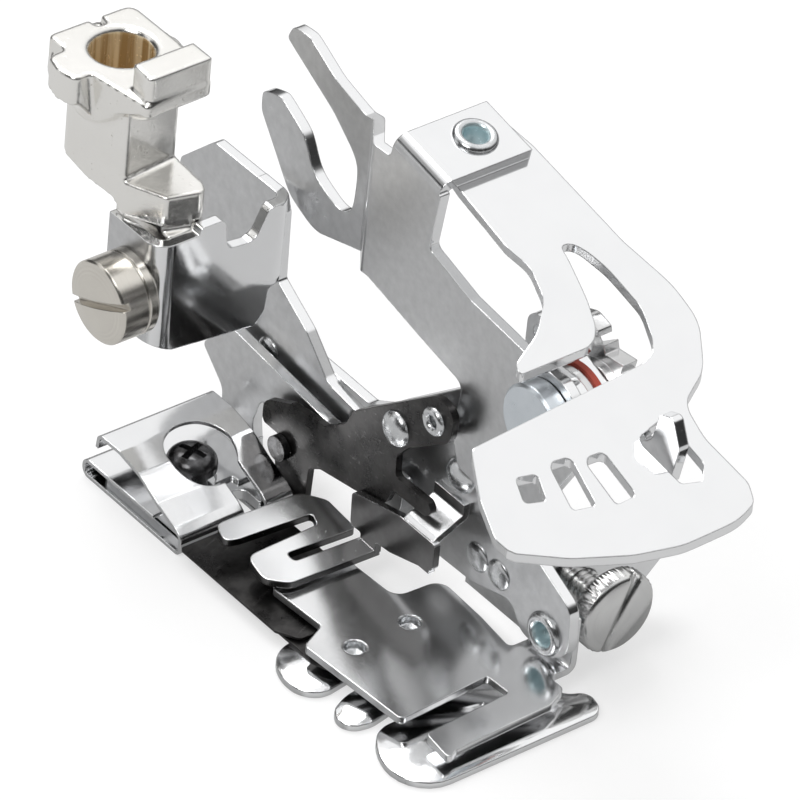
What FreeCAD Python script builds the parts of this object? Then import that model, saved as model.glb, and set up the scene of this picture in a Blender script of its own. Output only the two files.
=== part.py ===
import FreeCAD, Part
import math
import os

Vec = FreeCAD.Vector
doc = FreeCAD.newDocument("RufflerFoot")

# Driving sizes, in millimetres and degrees. The frame starts at the point where the needle
# meets the sole: +X is to the right, +Y to the rear, where the shank is, and +Z is up.
SIZES = [
    ("frame_gauge", 1.2, "sheet of the bracket, arm and sole frame"),
    ("guide_gauge", 0.8, "sheet of the two guide plates"),
    ("carrier_gauge", 0.8, "sheet of the blade carrier"),
    ("lever_gauge", 0.9, "spring sheet of the selector lever"),
    ("clip_gauge", 0.4, "spring strip of the sole clip"),
    ("blade_gauge", 0.3, "blued strip of the two blades"),
    ("bore_x", -3.2, "shank bore, across"),
    ("bore_y", 21.4, "shank bore, behind the needle"),
    ("head_top", 46.6, "top of the shank head above the sole"),
    ("bore_radius", 3.2, "shank bore"),
    ("bore_depth", 9.6, "depth of the shank bore"),
    ("bore_lead", 0.45, "lead-in of the shank bore"),
    ("head_thick", 3.4, "rim of the shank head"),
    ("skirt_radius", 7.3, "skirt under the shank head"),
    ("skirt_drop", 6.8, "foot of the skirt below the head's top"),
    ("neck_radius", 4.35, "round rear of the neck"),
    ("neck_sink", 3.0, "foot of the neck below the foot's step"),
    ("block_half", 2.6, "half width of the foot block"),
    ("block_top", 35.0, "top of the foot block"),
    ("block_bottom", 19.0, "underside of the foot block"),
    ("bar_rise", 3.0, "front bar above the head"),
    ("bar_drop", 1.5, "front bar below the head's top"),
    ("box_front", 8.6, "front face of the clamp box"),
    ("box_top", 30.8, "rim of the clamp box"),
    ("box_bottom", 16.8, "lower edge of the clamp box"),
    ("box_rear", 16.7, "rear edge of the left wall"),
    ("box_bend", 2.2, "outer bend of the clamp box"),
    ("side_left", 9.2, "left face of the side plate"),
    ("web_left", 7.2, "left face of the sole frame's web"),
    ("arm_left", 7.8, "left face of the fork arm"),
    ("carrier_left", 5.6, "left face of the blade carrier"),
    ("prong_gap", 0.5, "fork prongs beside the clamp box"),
    ("screw_y", 11.9, "clamp screw, from the needle"),
    ("screw_z", 24.2, "clamp screw, above the sole"),
    ("screw_head_radius", 4.5, "clamp screw head"),
    ("screw_head_long", 4.9, "clamp screw head"),
    ("screw_radius", 1.5, "clamp screw thread"),
    ("thread_fit", 0.05, "thread in its hole"),
    ("hub_y", -34.4, "hub axis, from the needle"),
    ("hub_z", 31.9, "hub axis, above the sole"),
    ("hub_pin_radius", 2.5, "hub pin"),
    ("hub_head_radius", 4.2, "flat head of the hub pin"),
    ("hub_head_long", 2.2, "flat head of the hub pin"),
    ("hub_fit", 0.05, "moving pieces on the hub pin"),
    ("drum_radius", 4.4, "spacer drum on the hub"),
    ("drum_long", 1.0, "spacer drum on the hub"),
    ("washer_radius", 4.7, "fibre washer on the hub"),
    ("washer_long", 0.7, "fibre washer on the hub"),
    ("stack_gap", 0.1, "side play between pieces on the hub"),
    ("ratchet_radius", 6.0, "tips of the ratchet wheel"),
    ("ratchet_root", 5.0, "roots of the ratchet wheel"),
    ("ratchet_wide", 1.8, "ratchet wheel"),
    ("ratchet_teeth", 12, "teeth of the ratchet wheel"),
    ("ratchet_hub_long", 1.0, "collar of the ratchet wheel"),
    ("pawl_out", 7.2, "pawl pivot, behind the hub axis"),
    ("pawl_up", 3.9, "pawl pivot, above the hub axis"),
    ("flange_long", 10.2, "top flange of the arm, across"),
    ("flange_tilt", 10.7, "fall of the top flange towards the front"),
    ("flange_y", -8.3, "rear corner of the top flange"),
    ("flange_rise", 17.7, "rear corner of the top flange above the hub axis"),
    ("arm_bend", 1.8, "outer bend of the top flange"),
    ("tube_rivet_radius", 1.75, "tubular rivet, body"),
    ("tube_rivet_bore", 1.2, "tubular rivet, hole"),
    ("tube_rivet_head", 2.4, "tubular rivet, rolled head"),
    ("selector_tilt", 30.5, "fall of the selector plate"),
    ("bend_y", -27.1, "bend of the selector lever"),
    ("pin_y", 1.7, "guide pin of the carrier"),
    ("pin_z", 5.9, "guide pin of the carrier"),
    ("pin_radius", 0.9, "guide pin of the carrier"),
    ("pin_head_radius", 1.4, "head of the guide pin"),
    ("sole_top", 1.8, "top of the sole plate"),
    ("clip_left", -9.5, "left edge of the sole clip"),
    ("clip_right", 4.8, "right edge of the sole clip"),
    ("clip_front", -1.6, "front fold of the sole clip"),
    ("needle_half", 1.4, "half width of the needle slot"),
    ("keyhole_radius", 3.85, "keyhole over the clip screw"),
    ("keyhole_x", -1.7, "keyhole over the clip screw"),
    ("keyhole_y", 5.8, "keyhole over the clip screw"),
    ("clip_screw_radius", 2.3, "head of the clip screw"),
    ("clip_screw_x", -2.2, "clip screw"),
    ("clip_screw_y", 6.5, "clip screw"),
    ("clip_screw_high", 1.8, "head of the clip screw"),
    ("clip_collar", 1.2, "collar under the head of the clip screw"),
    ("clip_thread", 1.2, "thread of the clip screw"),
    ("blade_lift", 1.3, "underside of the ruffling blade"),
    ("upper_lift", 2.0, "underside of the upper guide"),
    ("finger_lift", 3.1, "underside of the adjusting finger"),
    ("finger_gauge", 0.8, "sheet of the adjusting finger"),
    ("tab_front", -23.3, "front edge of the finger's tab"),
    ("tab_wide", 4.7, "finger's tab"),
    ("blade_rear", -1.9, "rear edge of the ruffling blade"),
    ("blade_front", -20.0, "front edge of the ruffling blade"),
    ("blade_left", -9.8, "left edge of the blades"),
    ("blade_right", 2.2, "right edge of the blades"),
    ("ear_y", -36.2, "rivet of the guide's ear"),
    ("ear_z", 5.7, "rivet of the guide's ear"),
    ("ear_radius", 3.8, "round end of the side plate and ear"),
    ("ear_bend", 1.0, "curl of the upper guide"),
    ("guide_rivet_radius", 1.2, "rivets through the guides"),
    ("depth_out", 6.2, "depth screw, from the side plate"),
    ("depth_reach", 10.9, "depth bracket's flange beyond the screw"),
    ("depth_leaf", 10.5, "depth bracket's leaf behind its flange"),
    ("depth_z", 6.6, "depth screw, above the sole"),
    ("depth_head_radius", 4.6, "knurled head"),
    ("depth_head_long", 2.5, "knurled head"),
    ("depth_radius", 1.8, "depth screw thread"),
    ("depth_long", 9.5, "depth screw thread"),
    ("depth_face", -38.9, "front of the knurled head"),
    ("depth_flange", -33.0, "front of the depth bracket's flange"),
    ("knurls", 36, "ridges of the knurled head"),
    ("slot_wide", 0.8, "screwdriver slots"),
    ("rivet_radius", 1.2, "solid rivets"),
    ("rivet_head", 2.0, "domed heads of the solid rivets"),
    ("rivet_dome", 1.0, "height of the domed heads"),
]
sheet = doc.addObject("Spreadsheet::Sheet", "Sizes")
for row, (alias, value, meaning) in enumerate(SIZES, start=1):
    sheet.set(f"A{row}", meaning)
    sheet.set(f"B{row}", str(value))
    sheet.setAlias(f"B{row}", alias)
doc.recompute()


class Cells:
    """Reads a driving size from the sheet by its name."""

    def __getattr__(self, alias):
        return float(sheet.get(alias))


c = Cells()
parts = {}


def rounded(points):
    """Edges of a closed outline of (u, v, radius) corners; a radius is limited by its sides."""
    corners = []
    count = len(points)
    for i, (u, v, radius) in enumerate(points):
        here = Vec(u, v, 0)
        back = Vec(*points[i - 1][:2], 0) - here
        ahead = Vec(*points[(i + 1) % count][:2], 0) - here
        turn = back.getAngle(ahead)
        if radius <= 0 or abs(math.sin(turn)) < 1e-3:
            corners.append((here, None, here))
            continue
        reach = radius / math.tan(turn / 2)
        limit = 0.49 * min(back.Length, ahead.Length)
        if reach > limit:
            radius *= limit / reach
            reach = limit
        start = here + back.normalize() * reach
        end = here + ahead.normalize() * reach
        middle = (back + ahead).normalize()
        centre = here + middle * (radius / math.sin(turn / 2))
        corners.append((start, centre - middle * radius, end))
    edges = []
    for i, (start, middle, end) in enumerate(corners):
        if middle is not None:
            edges.append(Part.Arc(start, middle, end))
        following = corners[(i + 1) % count][0]
        if (following - end).Length > 1e-6:
            edges.append(Part.LineSegment(end, following))
    return edges


def strip(points, gauge):
    """Closed outline of a bent strip that follows (u, v, radius) points along its middle."""
    sides = ([], [])
    for i, (u, v, radius) in enumerate(points):
        here = Vec(u, v, 0)
        runs = []
        if i > 0:
            runs.append((here - Vec(*points[i - 1][:2], 0)).normalize())
        if i < len(points) - 1:
            runs.append((Vec(*points[i + 1][:2], 0) - here).normalize())
        normals = [Vec(-run.y, run.x, 0) for run in runs]
        miter = normals[0] + normals[-1]
        miter = miter * (gauge / miter.dot(normals[0]) / 2)
        bend = 0
        if len(runs) == 2:
            bend = math.copysign(1, runs[0].x * runs[1].y - runs[0].y * runs[1].x)
        for side, sign in zip(sides, (1, -1)):
            spot = here + miter * sign
            own = max(radius - sign * bend * gauge / 2, 0.02) if radius > 0 else 0
            side.append((spot.x, spot.y, own))
    return sides[0] + sides[1][::-1]


def moved(points, du, dv):
    return [(u + du, v + dv, radius) for u, v, radius in points]


def sketch(body, name, role, offset, outlines, circles=()):
    """Sketch on an origin plane of the body, at an offset bound to the sheet."""
    drawn = body.newObject("Sketcher::SketchObject", name)
    planes = [f for f in body.Origin.OriginFeatures if f.Role == role]
    drawn.AttachmentSupport = [(planes[0], "")]
    drawn.MapMode = "FlatFace"
    drawn.setExpression(".AttachmentOffset.Base.z", offset)
    for outline in outlines:
        for edge in rounded(outline):
            drawn.addGeometry(edge, False)
    for u, v, radius in circles:
        drawn.addGeometry(Part.Circle(Vec(u, v, 0), Vec(0, 0, 1), radius), False)
    return drawn


def pad(body, name, role, offset, length, outlines, circles=()):
    """Plate of a given outline, its thickness bound to the sheet."""
    drawn = sketch(body, name + "_outline", role, offset, outlines, circles)
    feature = body.newObject("PartDesign::Pad", name)
    feature.Profile = drawn
    feature.setExpression("Length", length)
    return feature


def pocket(body, name, role, offset, length, outlines, circles=()):
    """Cut of a given outline; it goes against the sketch's normal, and it has to cut."""
    doc.recompute()
    before = body.Shape.Volume
    drawn = sketch(body, name + "_outline", role, offset, outlines, circles)
    feature = body.newObject("PartDesign::Pocket", name)
    feature.Profile = drawn
    feature.setExpression("Length", length)
    doc.recompute()
    if not body.Shape.Volume < before - 1e-6:
        raise ValueError(name + " cuts nothing")
    return feature


def new_body(label):
    body = doc.addObject("PartDesign::Body", label)
    body.Label = label
    parts[label] = body
    return body


def turned(label, profile, place, angle=(0, 0, 0)):
    """Piece turned about its own X axis from (x, r) corners; its place is bound to the sheet."""
    body = new_body(label)
    drawn = sketch(body, label + "_profile", "XY_Plane", "0", [[(x, r, 0) for x, r, *_ in profile]])
    feature = body.newObject("PartDesign::Revolution", label + "_turned")
    feature.Profile = drawn
    feature.ReferenceAxis = (drawn, ["H_Axis"])
    feature.Angle = 360
    seat(body, place, angle)
    return body


def seat(piece, place, angle=(0, 0, 0)):
    piece.Placement = FreeCAD.Placement(Vec(0, 0, 0), FreeCAD.Rotation(*angle))
    for axis, expression in zip("xyz", place):
        piece.setExpression(".Placement.Base." + axis, expression)


def group(label, pieces):
    """Like fasteners that share one node as separate solids."""
    whole = doc.addObject("Part::Compound", label)
    whole.Label = label
    whole.Links = pieces
    parts[label] = whole
    return whole


def fastener(name, profile, place, angle=(0, 0, 0)):
    """One solid of a group, turned about its own X axis."""
    drawn = doc.addObject("Sketcher::SketchObject", name + "_profile")
    for edge in rounded([(x, r, 0) for x, r, *_ in profile]):
        drawn.addGeometry(edge, False)
    piece = doc.addObject("Part::Revolution", name)
    piece.Source = drawn
    piece.Axis = Vec(1, 0, 0)
    piece.Angle = 360
    piece.Solid = True
    seat(piece, place, angle)
    return piece


g = c.frame_gauge
head_low = c.head_top - c.head_thick
box_left = c.bore_x - c.block_half - g
side_right = c.side_left + g
prong_left = side_right + c.prong_gap
arm_right = c.arm_left + g

# The shank is a casting: a head with a raised front bar, a skirt that narrows to the neck,
# and a foot block that the clamp screw holds in the bracket's box.
shank = new_body("shank")
head = [
    (5.4, 5.6, 1.2), (1.5, 5.6, 0.2), (1.3, 4.3, 0.3), (0.2, 4.3, 0.3), (0.0, 5.6, 0.2),
    (-4.5, 5.6, 0.5), (-5.1, 5.3, 0.4), (-5.1, 2.7, 0.5), (-7.3, 2.5, 0.9), (-7.9, 0.0, 3.0),
    (-7.3, -2.2, 0.9), (-5.5, -2.1, 0.5), (-4.3, -9.9, 0.7), (4.0, -9.7, 0.8), (4.8, -4.6, 0.3),
    (5.4, -2.5, 0.3),
]
pad(shank, "head", "XY_Plane", "-Sizes.head_thick", "Sizes.head_thick", [head])
bar = [(-3.6, -6.2, 0.5), (-3.9, -9.6, 0.6), (3.9, -9.6, 0.7), (5.9, -4.9, 0.6), (5.7, -2.9, 0.4),
       (4.7, -3.2, 0.2), (3.0, -5.3, 0.3), (2.6, -6.2, 0.3)]
pad(shank, "front_bar", "XY_Plane", "-Sizes.bar_drop", "Sizes.bar_drop + Sizes.bar_rise", [bar])
skirt = [
    (-1.6, 0, 0), (-1.6, c.skirt_radius - 0.3, 0), (-3.0, c.skirt_radius, 0.5),
    (-c.skirt_drop, c.neck_radius, 0.6), (-c.skirt_drop - 0.6, c.neck_radius, 0),
    (-c.skirt_drop - 0.6, 0, 0),
]
drawn = sketch(shank, "skirt_profile", "XZ_Plane", "0", [[(r, x, q) for x, r, q in skirt]])
turning = shank.newObject("PartDesign::Revolution", "skirt")
turning.Profile = drawn
turning.ReferenceAxis = (drawn, ["V_Axis"])
turning.Angle = 360
slope = [(-12, -c.bar_drop, 0), (-8.8, -c.bar_drop, 0), (-4.6, -c.head_thick - 0.3, 0),
         (-4.6, -9, 0), (-12, -9, 0)]
pocket(shank, "head_underside", "YZ_Plane", "20", "40", [slope])
nr = c.neck_radius
neck = [(-3.3, -5.9, 0.4), (3.7, -5.2, 0.4), (nr - 0.05, -1.0, 1.0), (nr, nr, nr - 0.1),
        (-nr, nr, nr - 0.1), (-nr + 0.05, -1.0, 1.0)]
pad(shank, "neck", "XY_Plane", "Sizes.block_top - Sizes.head_top - Sizes.neck_sink",
    "Sizes.head_top - Sizes.block_top + Sizes.neck_sink - 2", [neck])
neck_low = c.block_top - c.head_top - c.neck_sink
heel = [(nr + 1.6, neck_low + 4.0, 0), (nr - 0.4, neck_low + 1.9, 1.2),
        (-4.8, neck_low + 0.3, 0), (-4.8, neck_low - 1, 0), (nr + 1.6, neck_low - 1, 0)]
pocket(shank, "heel", "YZ_Plane", "20", "40", [heel])
block_front = c.box_front + g - c.bore_y
bh = c.block_half
corner = c.box_bend - g + 0.3
block = [(-bh, -4.8, 0.3), (-bh, block_front + corner, 0.2), (-bh + corner, block_front, 0.2),
         (bh + 0.2, block_front, 0.5), (bh + 0.7, block_front + 1.6, 0.4), (bh + 1.2, -4.8, 0.3)]
pad(shank, "foot_block", "XY_Plane", "Sizes.block_bottom - Sizes.head_top",
    "Sizes.box_top + 0.1 - Sizes.block_bottom", [block])
step = [(-3.3, -5.0, 0), (-3.3, -6.2, 0.4), (-1.35, block_front + 1.1, 0.5),
        (bh + 0.1, block_front, 0.9), (bh + 0.8, block_front + 1.4, 0.8), (bh + 1.2, -5.0, 0)]
pad(shank, "foot_step", "XY_Plane", "Sizes.box_top - Sizes.head_top",
    "Sizes.block_top - Sizes.box_top", [step])
pocket(shank, "bore", "XY_Plane", "0", "Sizes.bore_depth", [], [(0, 0, c.bore_radius)])
br, bl = c.bore_radius, c.bore_lead
lead = [[(br - 0.4, 0.3, 0), (br + bl + 0.3, 0.3, 0), (br - 0.4, -bl - 0.4, 0)]]
drawn = sketch(shank, "bore_lead_profile", "XZ_Plane", "0", lead)
turning = shank.newObject("PartDesign::Groove", "bore_lead")
turning.Profile = drawn
turning.ReferenceAxis = (drawn, ["V_Axis"])
turning.Angle = 360
screw_depth = c.block_half * 1.7
pocket(
    shank, "screw_hole", "YZ_Plane", "-Sizes.block_half + 1.7 * Sizes.block_half",
    "1.7 * Sizes.block_half", [],
    [(c.screw_y - c.bore_y, c.screw_z - c.head_top, c.screw_radius + c.thread_fit)],
)
seat(shank, ("Sizes.bore_x", "Sizes.bore_y", "Sizes.head_top"))

# The bracket is one bent sheet: a box round the foot block, whose right wall runs on as the
# side plate to the hub and down to the round end at the guide's ear.
bracket = new_body("shank_bracket")
left_mid = box_left + g / 2
front_mid = c.box_front + g / 2
right_mid = c.side_left + g / 2
plan = strip([(left_mid, c.box_rear, 0), (left_mid, front_mid, c.box_bend - g / 2),
              (right_mid, front_mid, c.box_bend - g / 2), (right_mid, c.box_front + 5, 0)], g)
pad(bracket, "box", "XY_Plane", "Sizes.box_bottom - 0.4",
    "Sizes.box_top + 1.2 - Sizes.box_bottom", [plan])
guide_top = c.upper_lift + c.guide_gauge
top = c.box_top
rim = [
    (-12, top, 0), (-1.9, top, 0.3), (-1.6, top + 0.8, 0.4), (1.0, top + 0.8, 0.4), (1.5, top, 0.2),
    (1.8, top - 3.0, 1.0), (5.4, top - 3.4, 1.6), (7.0, top, 0.8), (14, top + 0.1, 0),
    (14, top + 6, 0), (-12, top + 6, 0),
]
pocket(bracket, "rim", "XZ_Plane", "40", "80", [rim])
low = c.box_bottom
foot = [
    (-12, low + 2.2, 0), (-7.0, low + 2.0, 0.5), (-4.2, low + 0.8, 2.0), (3.5, low, 3.0),
    (6.4, low - 0.3, 1.0), (7.4, low + 1.2, 0.6), (7.7, low + 3.9, 0.6), (8.9, low + 4.1, 0.5),
    (14, low + 6.2, 0), (14, low - 6, 0), (-12, low - 6, 0),
]
pocket(bracket, "foot", "XZ_Plane", "40", "80", [foot])
pocket(bracket, "screw_clearance", "YZ_Plane", "0", "40", [],
       [(c.screw_y, c.screw_z, c.screw_radius + 0.6)])
lower = [
    (26.6, 20.4, 1.5), (25.8, 26.0, 1.0), (20.8, top, 1.0), (c.box_front + 1.4, top, 0.8),
    (c.box_front + 0.6, top - 2, 0.3), (c.box_front + 0.4, low + 3.9, 0.5), (3.9, 17.6, 2.0),
    (-0.2, 13.6, 2.0), (-5.4, 13.0, 1.5), (-11.3, 18.4, 3.0), (-20.9, 26.4, 3.0),
    (-24.5, c.hub_z + 1.0, 4.0), (c.hub_y + 4.5, c.hub_z + 4.2, 3.5),
    (c.hub_y - 3.5, c.hub_z + 4.4, 3.5), (c.hub_y - 5.2, c.hub_z - 3.0, 4.0),
    (-32.0, 22.0, 6.0), (c.ear_y + 3.7, 14.0, 2.0), (c.ear_y - 3.3, c.ear_z + 5.0, 2.0),
    (c.ear_y - c.ear_radius, guide_top + 0.7, 3.2),
    (c.ear_y + c.ear_radius, guide_top + 0.7, 3.2), (c.ear_y + 5.2, c.ear_z + 0.6, 3.0),
    (-25.0, 4.6, 3.0), (-13.3, 4.2, 2.0), (12.5, 4.2, 2.0), (17.5, 8.0, 2.0),
]
side_holes = [
    (c.hub_y, c.hub_z, c.hub_pin_radius + c.hub_fit), (c.ear_y, c.ear_z, c.tube_rivet_radius),
    (9.4, 11.5, c.rivet_radius), (-21.5, 15.9, c.rivet_radius), (-6.0, 9.6, c.rivet_radius),
    (-12.0, 9.6, c.rivet_radius), (-25.2, 8.0, c.rivet_radius), (-28.6, 8.0, c.rivet_radius),
    (c.pin_y, c.pin_z, c.pin_radius),
]
pad(bracket, "side_plate", "YZ_Plane", "Sizes.side_left", "Sizes.frame_gauge", [lower], side_holes)

# A second plate doubles the side plate below its valley.
backing = new_body("backing_plate")
outline = [
    (12.6, 6.0, 1.5), (12.2, 12.8, 2.0), (8.6, 14.0, 1.5), (-0.4, 14.0, 1.5), (-5.4, 13.9, 1.5),
    (-9.5, 16.2, 2.0), (-16.0, 21.4, 2.0), (-19.0, 20.0, 1.5), (-15.0, 6.0, 2.0),
]
pad(backing, "doubler", "YZ_Plane", "Sizes.side_left + Sizes.frame_gauge", "Sizes.frame_gauge",
    [outline], [(9.4, 11.5, c.rivet_radius), (-6.0, 9.6, c.rivet_radius),
                (-12.0, 9.6, c.rivet_radius)])

# The clamp screw has a big slotted head turned with rings; its thread is in the foot block.
long_in = g + screw_depth - 0.4
hr = c.screw_head_radius
hl = c.screw_head_long
screw = turned(
    "clamp_screw",
    [(-hl - 0.2, 0), (-hl, hr * 0.6), (-hl + 0.3, hr - 0.2), (-hl + 0.5, hr), (-1.5, hr),
     (-1.35, hr - 0.2), (-1.2, hr), (-0.3, hr), (0, hr - 0.3), (0, c.screw_radius),
     (long_in - 0.5, c.screw_radius), (long_in, c.screw_radius - 0.5), (long_in, 0)],
    ("Sizes.bore_x - Sizes.block_half - Sizes.frame_gauge", "Sizes.screw_y", "Sizes.screw_z"),
    (0, 0, 0),
)
w = c.slot_wide / 2
pocket(screw, "driver_slot", "YZ_Plane", "1.1 - Sizes.screw_head_long", "4",
       [[(-hr - 1, -w, 0), (hr + 1, -w, 0), (hr + 1, w, 0), (-hr - 1, w, 0)]])
screw.Placement.Rotation = FreeCAD.Rotation(Vec(1, 0, 0), -24)

# The sole frame: an upright web that flares down into the sole plate under the clip.
frame = new_body("sole_frame")
web = [
    (17.5, 8.4, 0.6), (13.6, 13.0, 2.5), (-2.8, 11.3, 2.0), (-15.4, 11.8, 0.8), (-15.2, 7.8, 0.8),
    (7.4, 7.8, 2.0), (8.6, 4.0, 2.0), (8.0, c.sole_top - g, 0), (13.6, c.sole_top - g, 0),
    (13.8, 5.0, 2.0),
]
pad(frame, "web", "YZ_Plane", "Sizes.web_left", "Sizes.frame_gauge", [web],
    [(-6.0, 9.6, c.rivet_radius), (-12.0, 9.6, c.rivet_radius)])
n = c.needle_half
plate = [
    (-8.0, -0.4, 1.0), (-n, -0.4, 0.3), (-n, 2.6, 1.2), (n, 2.6, 1.2), (n, -0.4, 0.3),
    (c.clip_right - 0.1, -0.4, 0.4), (c.clip_right - 0.1, 4.8, 0.3), (c.clip_right + 0.6, 5.4, 0.3),
    (c.clip_right + 0.6, 8.0, 0.4), (c.web_left + g, 8.0, 0.2),
    (c.web_left + g, 13.6, 0.2), (-8.0, 13.6, 1.0),
]
pad(frame, "sole_plate", "XY_Plane", "Sizes.sole_top - Sizes.frame_gauge", "Sizes.frame_gauge",
    [plate], [(c.clip_screw_x, c.clip_screw_y, c.clip_thread + c.thread_fit)])

# The sole clip is a spring strip rolled round the sole plate, with a keyhole for its screw and
# a slot for the needle.
clip = new_body("sole_clip")
t = c.clip_gauge
under = t / 2
above = c.sole_top + t / 2
f = c.clip_front + t / 2
roll = [
    (12.9, 4.6, 0), (12.7, 6.2, 0.6), (9.3, 6.3, 2.0), (5.8, 5.6, 2.0), (2.6, 4.0, 1.5),
    (-0.4, 2.9, 1.2), (f, 2.2, 0.7), (f, under, 0.7), (14.8, under, 0.8), (14.8, above, 0.8),
    (3.2, above, 0),
]
pad(clip, "roll", "YZ_Plane", "Sizes.clip_left", "Sizes.clip_right - Sizes.clip_left",
    [strip(roll, t)])
pocket(clip, "keyhole", "XY_Plane", "12", "12 - Sizes.sole_top - 1.0", [],
       [(c.keyhole_x, c.keyhole_y, c.keyhole_radius)])
pocket(clip, "needle_slot", "XY_Plane", "12", "24",
       [[(-n, -1.0, 0.9), (n, -1.0, 0.9), (n, 4.2, 0.3), (-n, 4.2, 0.3)]])
pocket(clip, "slot_mouth", "XY_Plane", "12", "12 - Sizes.needle_half / 2",
       [[(-n, c.clip_front - 1, 0), (n, c.clip_front - 1, 0), (n, 4.2, 0.3), (-n, 4.2, 0.3)]])
pocket(clip, "screw_seat", "XY_Plane", "Sizes.sole_top + 0.6", "4", [],
       [(c.clip_screw_x, c.clip_screw_y, c.clip_screw_radius + 0.3)])

# Pan-headed screw with a cross recess that holds the clip to the sole plate.
cr = c.clip_screw_radius
ch = c.clip_screw_high
clip_screw = turned(
    "clip_screw",
    [(-1.7, 0), (-1.7, c.clip_thread), (0, c.clip_thread), (0, cr * 0.7), (c.clip_collar, cr * 0.7),
     (c.clip_collar, cr), (c.clip_collar + ch * 0.45, cr), (c.clip_collar + ch * 0.8, cr * 0.8),
     (c.clip_collar + ch, cr * 0.4), (c.clip_collar + ch, 0)],
    ("Sizes.clip_screw_x", "Sizes.clip_screw_y", "Sizes.sole_top"), (0, -90, 0),
)
for number, (u, v) in enumerate([(cr * 0.5, 0.28), (0.28, cr * 0.5)]):
    pocket(clip_screw, f"recess_{number}", "YZ_Plane",
           "Sizes.clip_collar + Sizes.clip_screw_high - 0.9", "3",
           [[(-u, -v, 0), (u, -v, 0), (u, v, 0), (-u, v, 0)]])

# Two blued blades: the lower one separates the cloth, the upper one pushes it.
separator = new_body("separator_blade")
bl = c.blade_left
blade = [
    (bl + 0.6, -2.8, 0.5), (c.blade_right, -2.8, 0.5), (c.blade_right, -19.0, 0.5),
    (3.6, -22.4, 0.6), (3.6, -27.4, 1.0),
    (-7.4, -27.4, 1.0), (bl + 0.6, -22.6, 1.0),
]
pad(separator, "lower_strip", "XY_Plane", "Sizes.guide_gauge", "Sizes.blade_gauge", [blade],
    [(-5.7, -25.1, c.guide_rivet_radius), (1.4, -24.9, c.guide_rivet_radius)])
ruffler = new_body("ruffling_blade")
cl = c.carrier_left
blade = [
    (bl, c.blade_rear, 0.4), (cl - 0.5, c.blade_rear, 0), (cl - 0.5, c.pin_y + 0.7, 0.3),
    (cl + c.carrier_gauge, c.pin_y + 0.7, 0.3), (cl + c.carrier_gauge, c.blade_rear - 2.0, 0.8),
    (c.blade_right, c.blade_rear - 2.6, 0.8), (c.blade_right, c.blade_front, 0.8),
    (bl + 1.4, c.blade_front, 0.8), (bl, c.blade_front + 2.4, 0.6),
]
pad(ruffler, "upper_strip", "XY_Plane", "Sizes.blade_lift", "Sizes.blade_gauge", [blade])

# The blade carrier hangs beside the web; a notch at its rear end rides on the guide pin.
carrier = new_body("blade_carrier")
py, pz, pr = c.pin_y, c.pin_z, c.pin_radius + 0.1
notch_end = py - pr - 0.3
blade_top = c.blade_lift + c.blade_gauge
leaf = [
    (-2.4, blade_top, 0), (-2.6, 5.8, 1.0), (-4.4, 6.9, 1.0), (-10.0, 7.9, 2.0), (-14.6, 9.2, 0.8),
    (-15.6, 11.6, 0.6), (-20.8, 11.7, 0.6), (-21.8, 12.6, 0.7), (-21.0, 13.6, 0.6), (-15.8, 13.4, 0.6),
    (-15.7, 16.0, 0.8), (-17.2, 17.9, 1.2), (-23.3, 22.4, 2.2), (-23.6, 26.2, 2.2),
    (-20.6, 26.6, 1.8), (-11.2, 19.1, 1.2), (-8.5, 16.9, 1.0), (-7.6, 14.8, 1.2),
    (-4.6, 12.4, 1.2), (0.9, 11.7, 2.0), (5.3, 9.6, 2.0), (5.3, pz + pr + 0.5, 0.8),
    (4.9, pz + pr, 0.3), (notch_end, pz + pr, 0.9), (notch_end, pz - pr, 0.9),
    (3.4, pz - pr, 0.3), (2.8, 3.9, 0.6), (2.4, blade_top, 0),
]
pad(carrier, "leaf", "YZ_Plane", "Sizes.carrier_left", "Sizes.carrier_gauge", [leaf],
    [(-20.8, 23.6, 1.1), (-15.3, 19.1, c.rivet_radius)])

# Rivets of the carrier: one domed, one tubular; their tails stay clear of the fork arm.
dome = [
    (-c.rivet_dome, 0, 0), (-c.rivet_dome * 0.8, c.rivet_head * 0.55, 0.5),
    (0, c.rivet_head, 0), (0, c.rivet_radius, 0),
]
r = c.rivet_radius
dome_rivet = fastener(
    "carrier_dome", dome + [(c.carrier_gauge, r, 0), (c.carrier_gauge + 0.3, r * 0.8, 0),
                            (c.carrier_gauge + 0.3, 0, 0)],
    ("Sizes.carrier_left", "-15.3", "19.1"))
tube_rivet = fastener(
    "carrier_tube",
    [(-0.45, 0.6, 0), (-0.6, 1.0, 0.15), (-0.3, 1.6, 0.2), (0, 1.6, 0), (0, 1.1, 0),
     (c.carrier_gauge, 1.1, 0), (c.carrier_gauge, 1.5, 0), (c.carrier_gauge + 0.4, 1.5, 0.15),
     (c.carrier_gauge + 0.4, 0.6, 0)],
    ("Sizes.carrier_left", "-20.8", "23.6"))
group("carrier_rivets", [dome_rivet, tube_rivet])

# Guide pin of the carrier, riveted into a tab of the web.
pin_stop = c.web_left - c.carrier_left
guide_pin = turned(
    "guide_pin",
    [(-0.9, 0, 0), (-0.9, c.pin_head_radius, 0.2), (-0.1, c.pin_head_radius, 0),
     (-0.1, c.pin_radius, 0), (side_right - cl, c.pin_radius, 0), (side_right - cl, 0, 0)],
    ("Sizes.carrier_left", "Sizes.pin_y", "Sizes.pin_z"))

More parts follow.
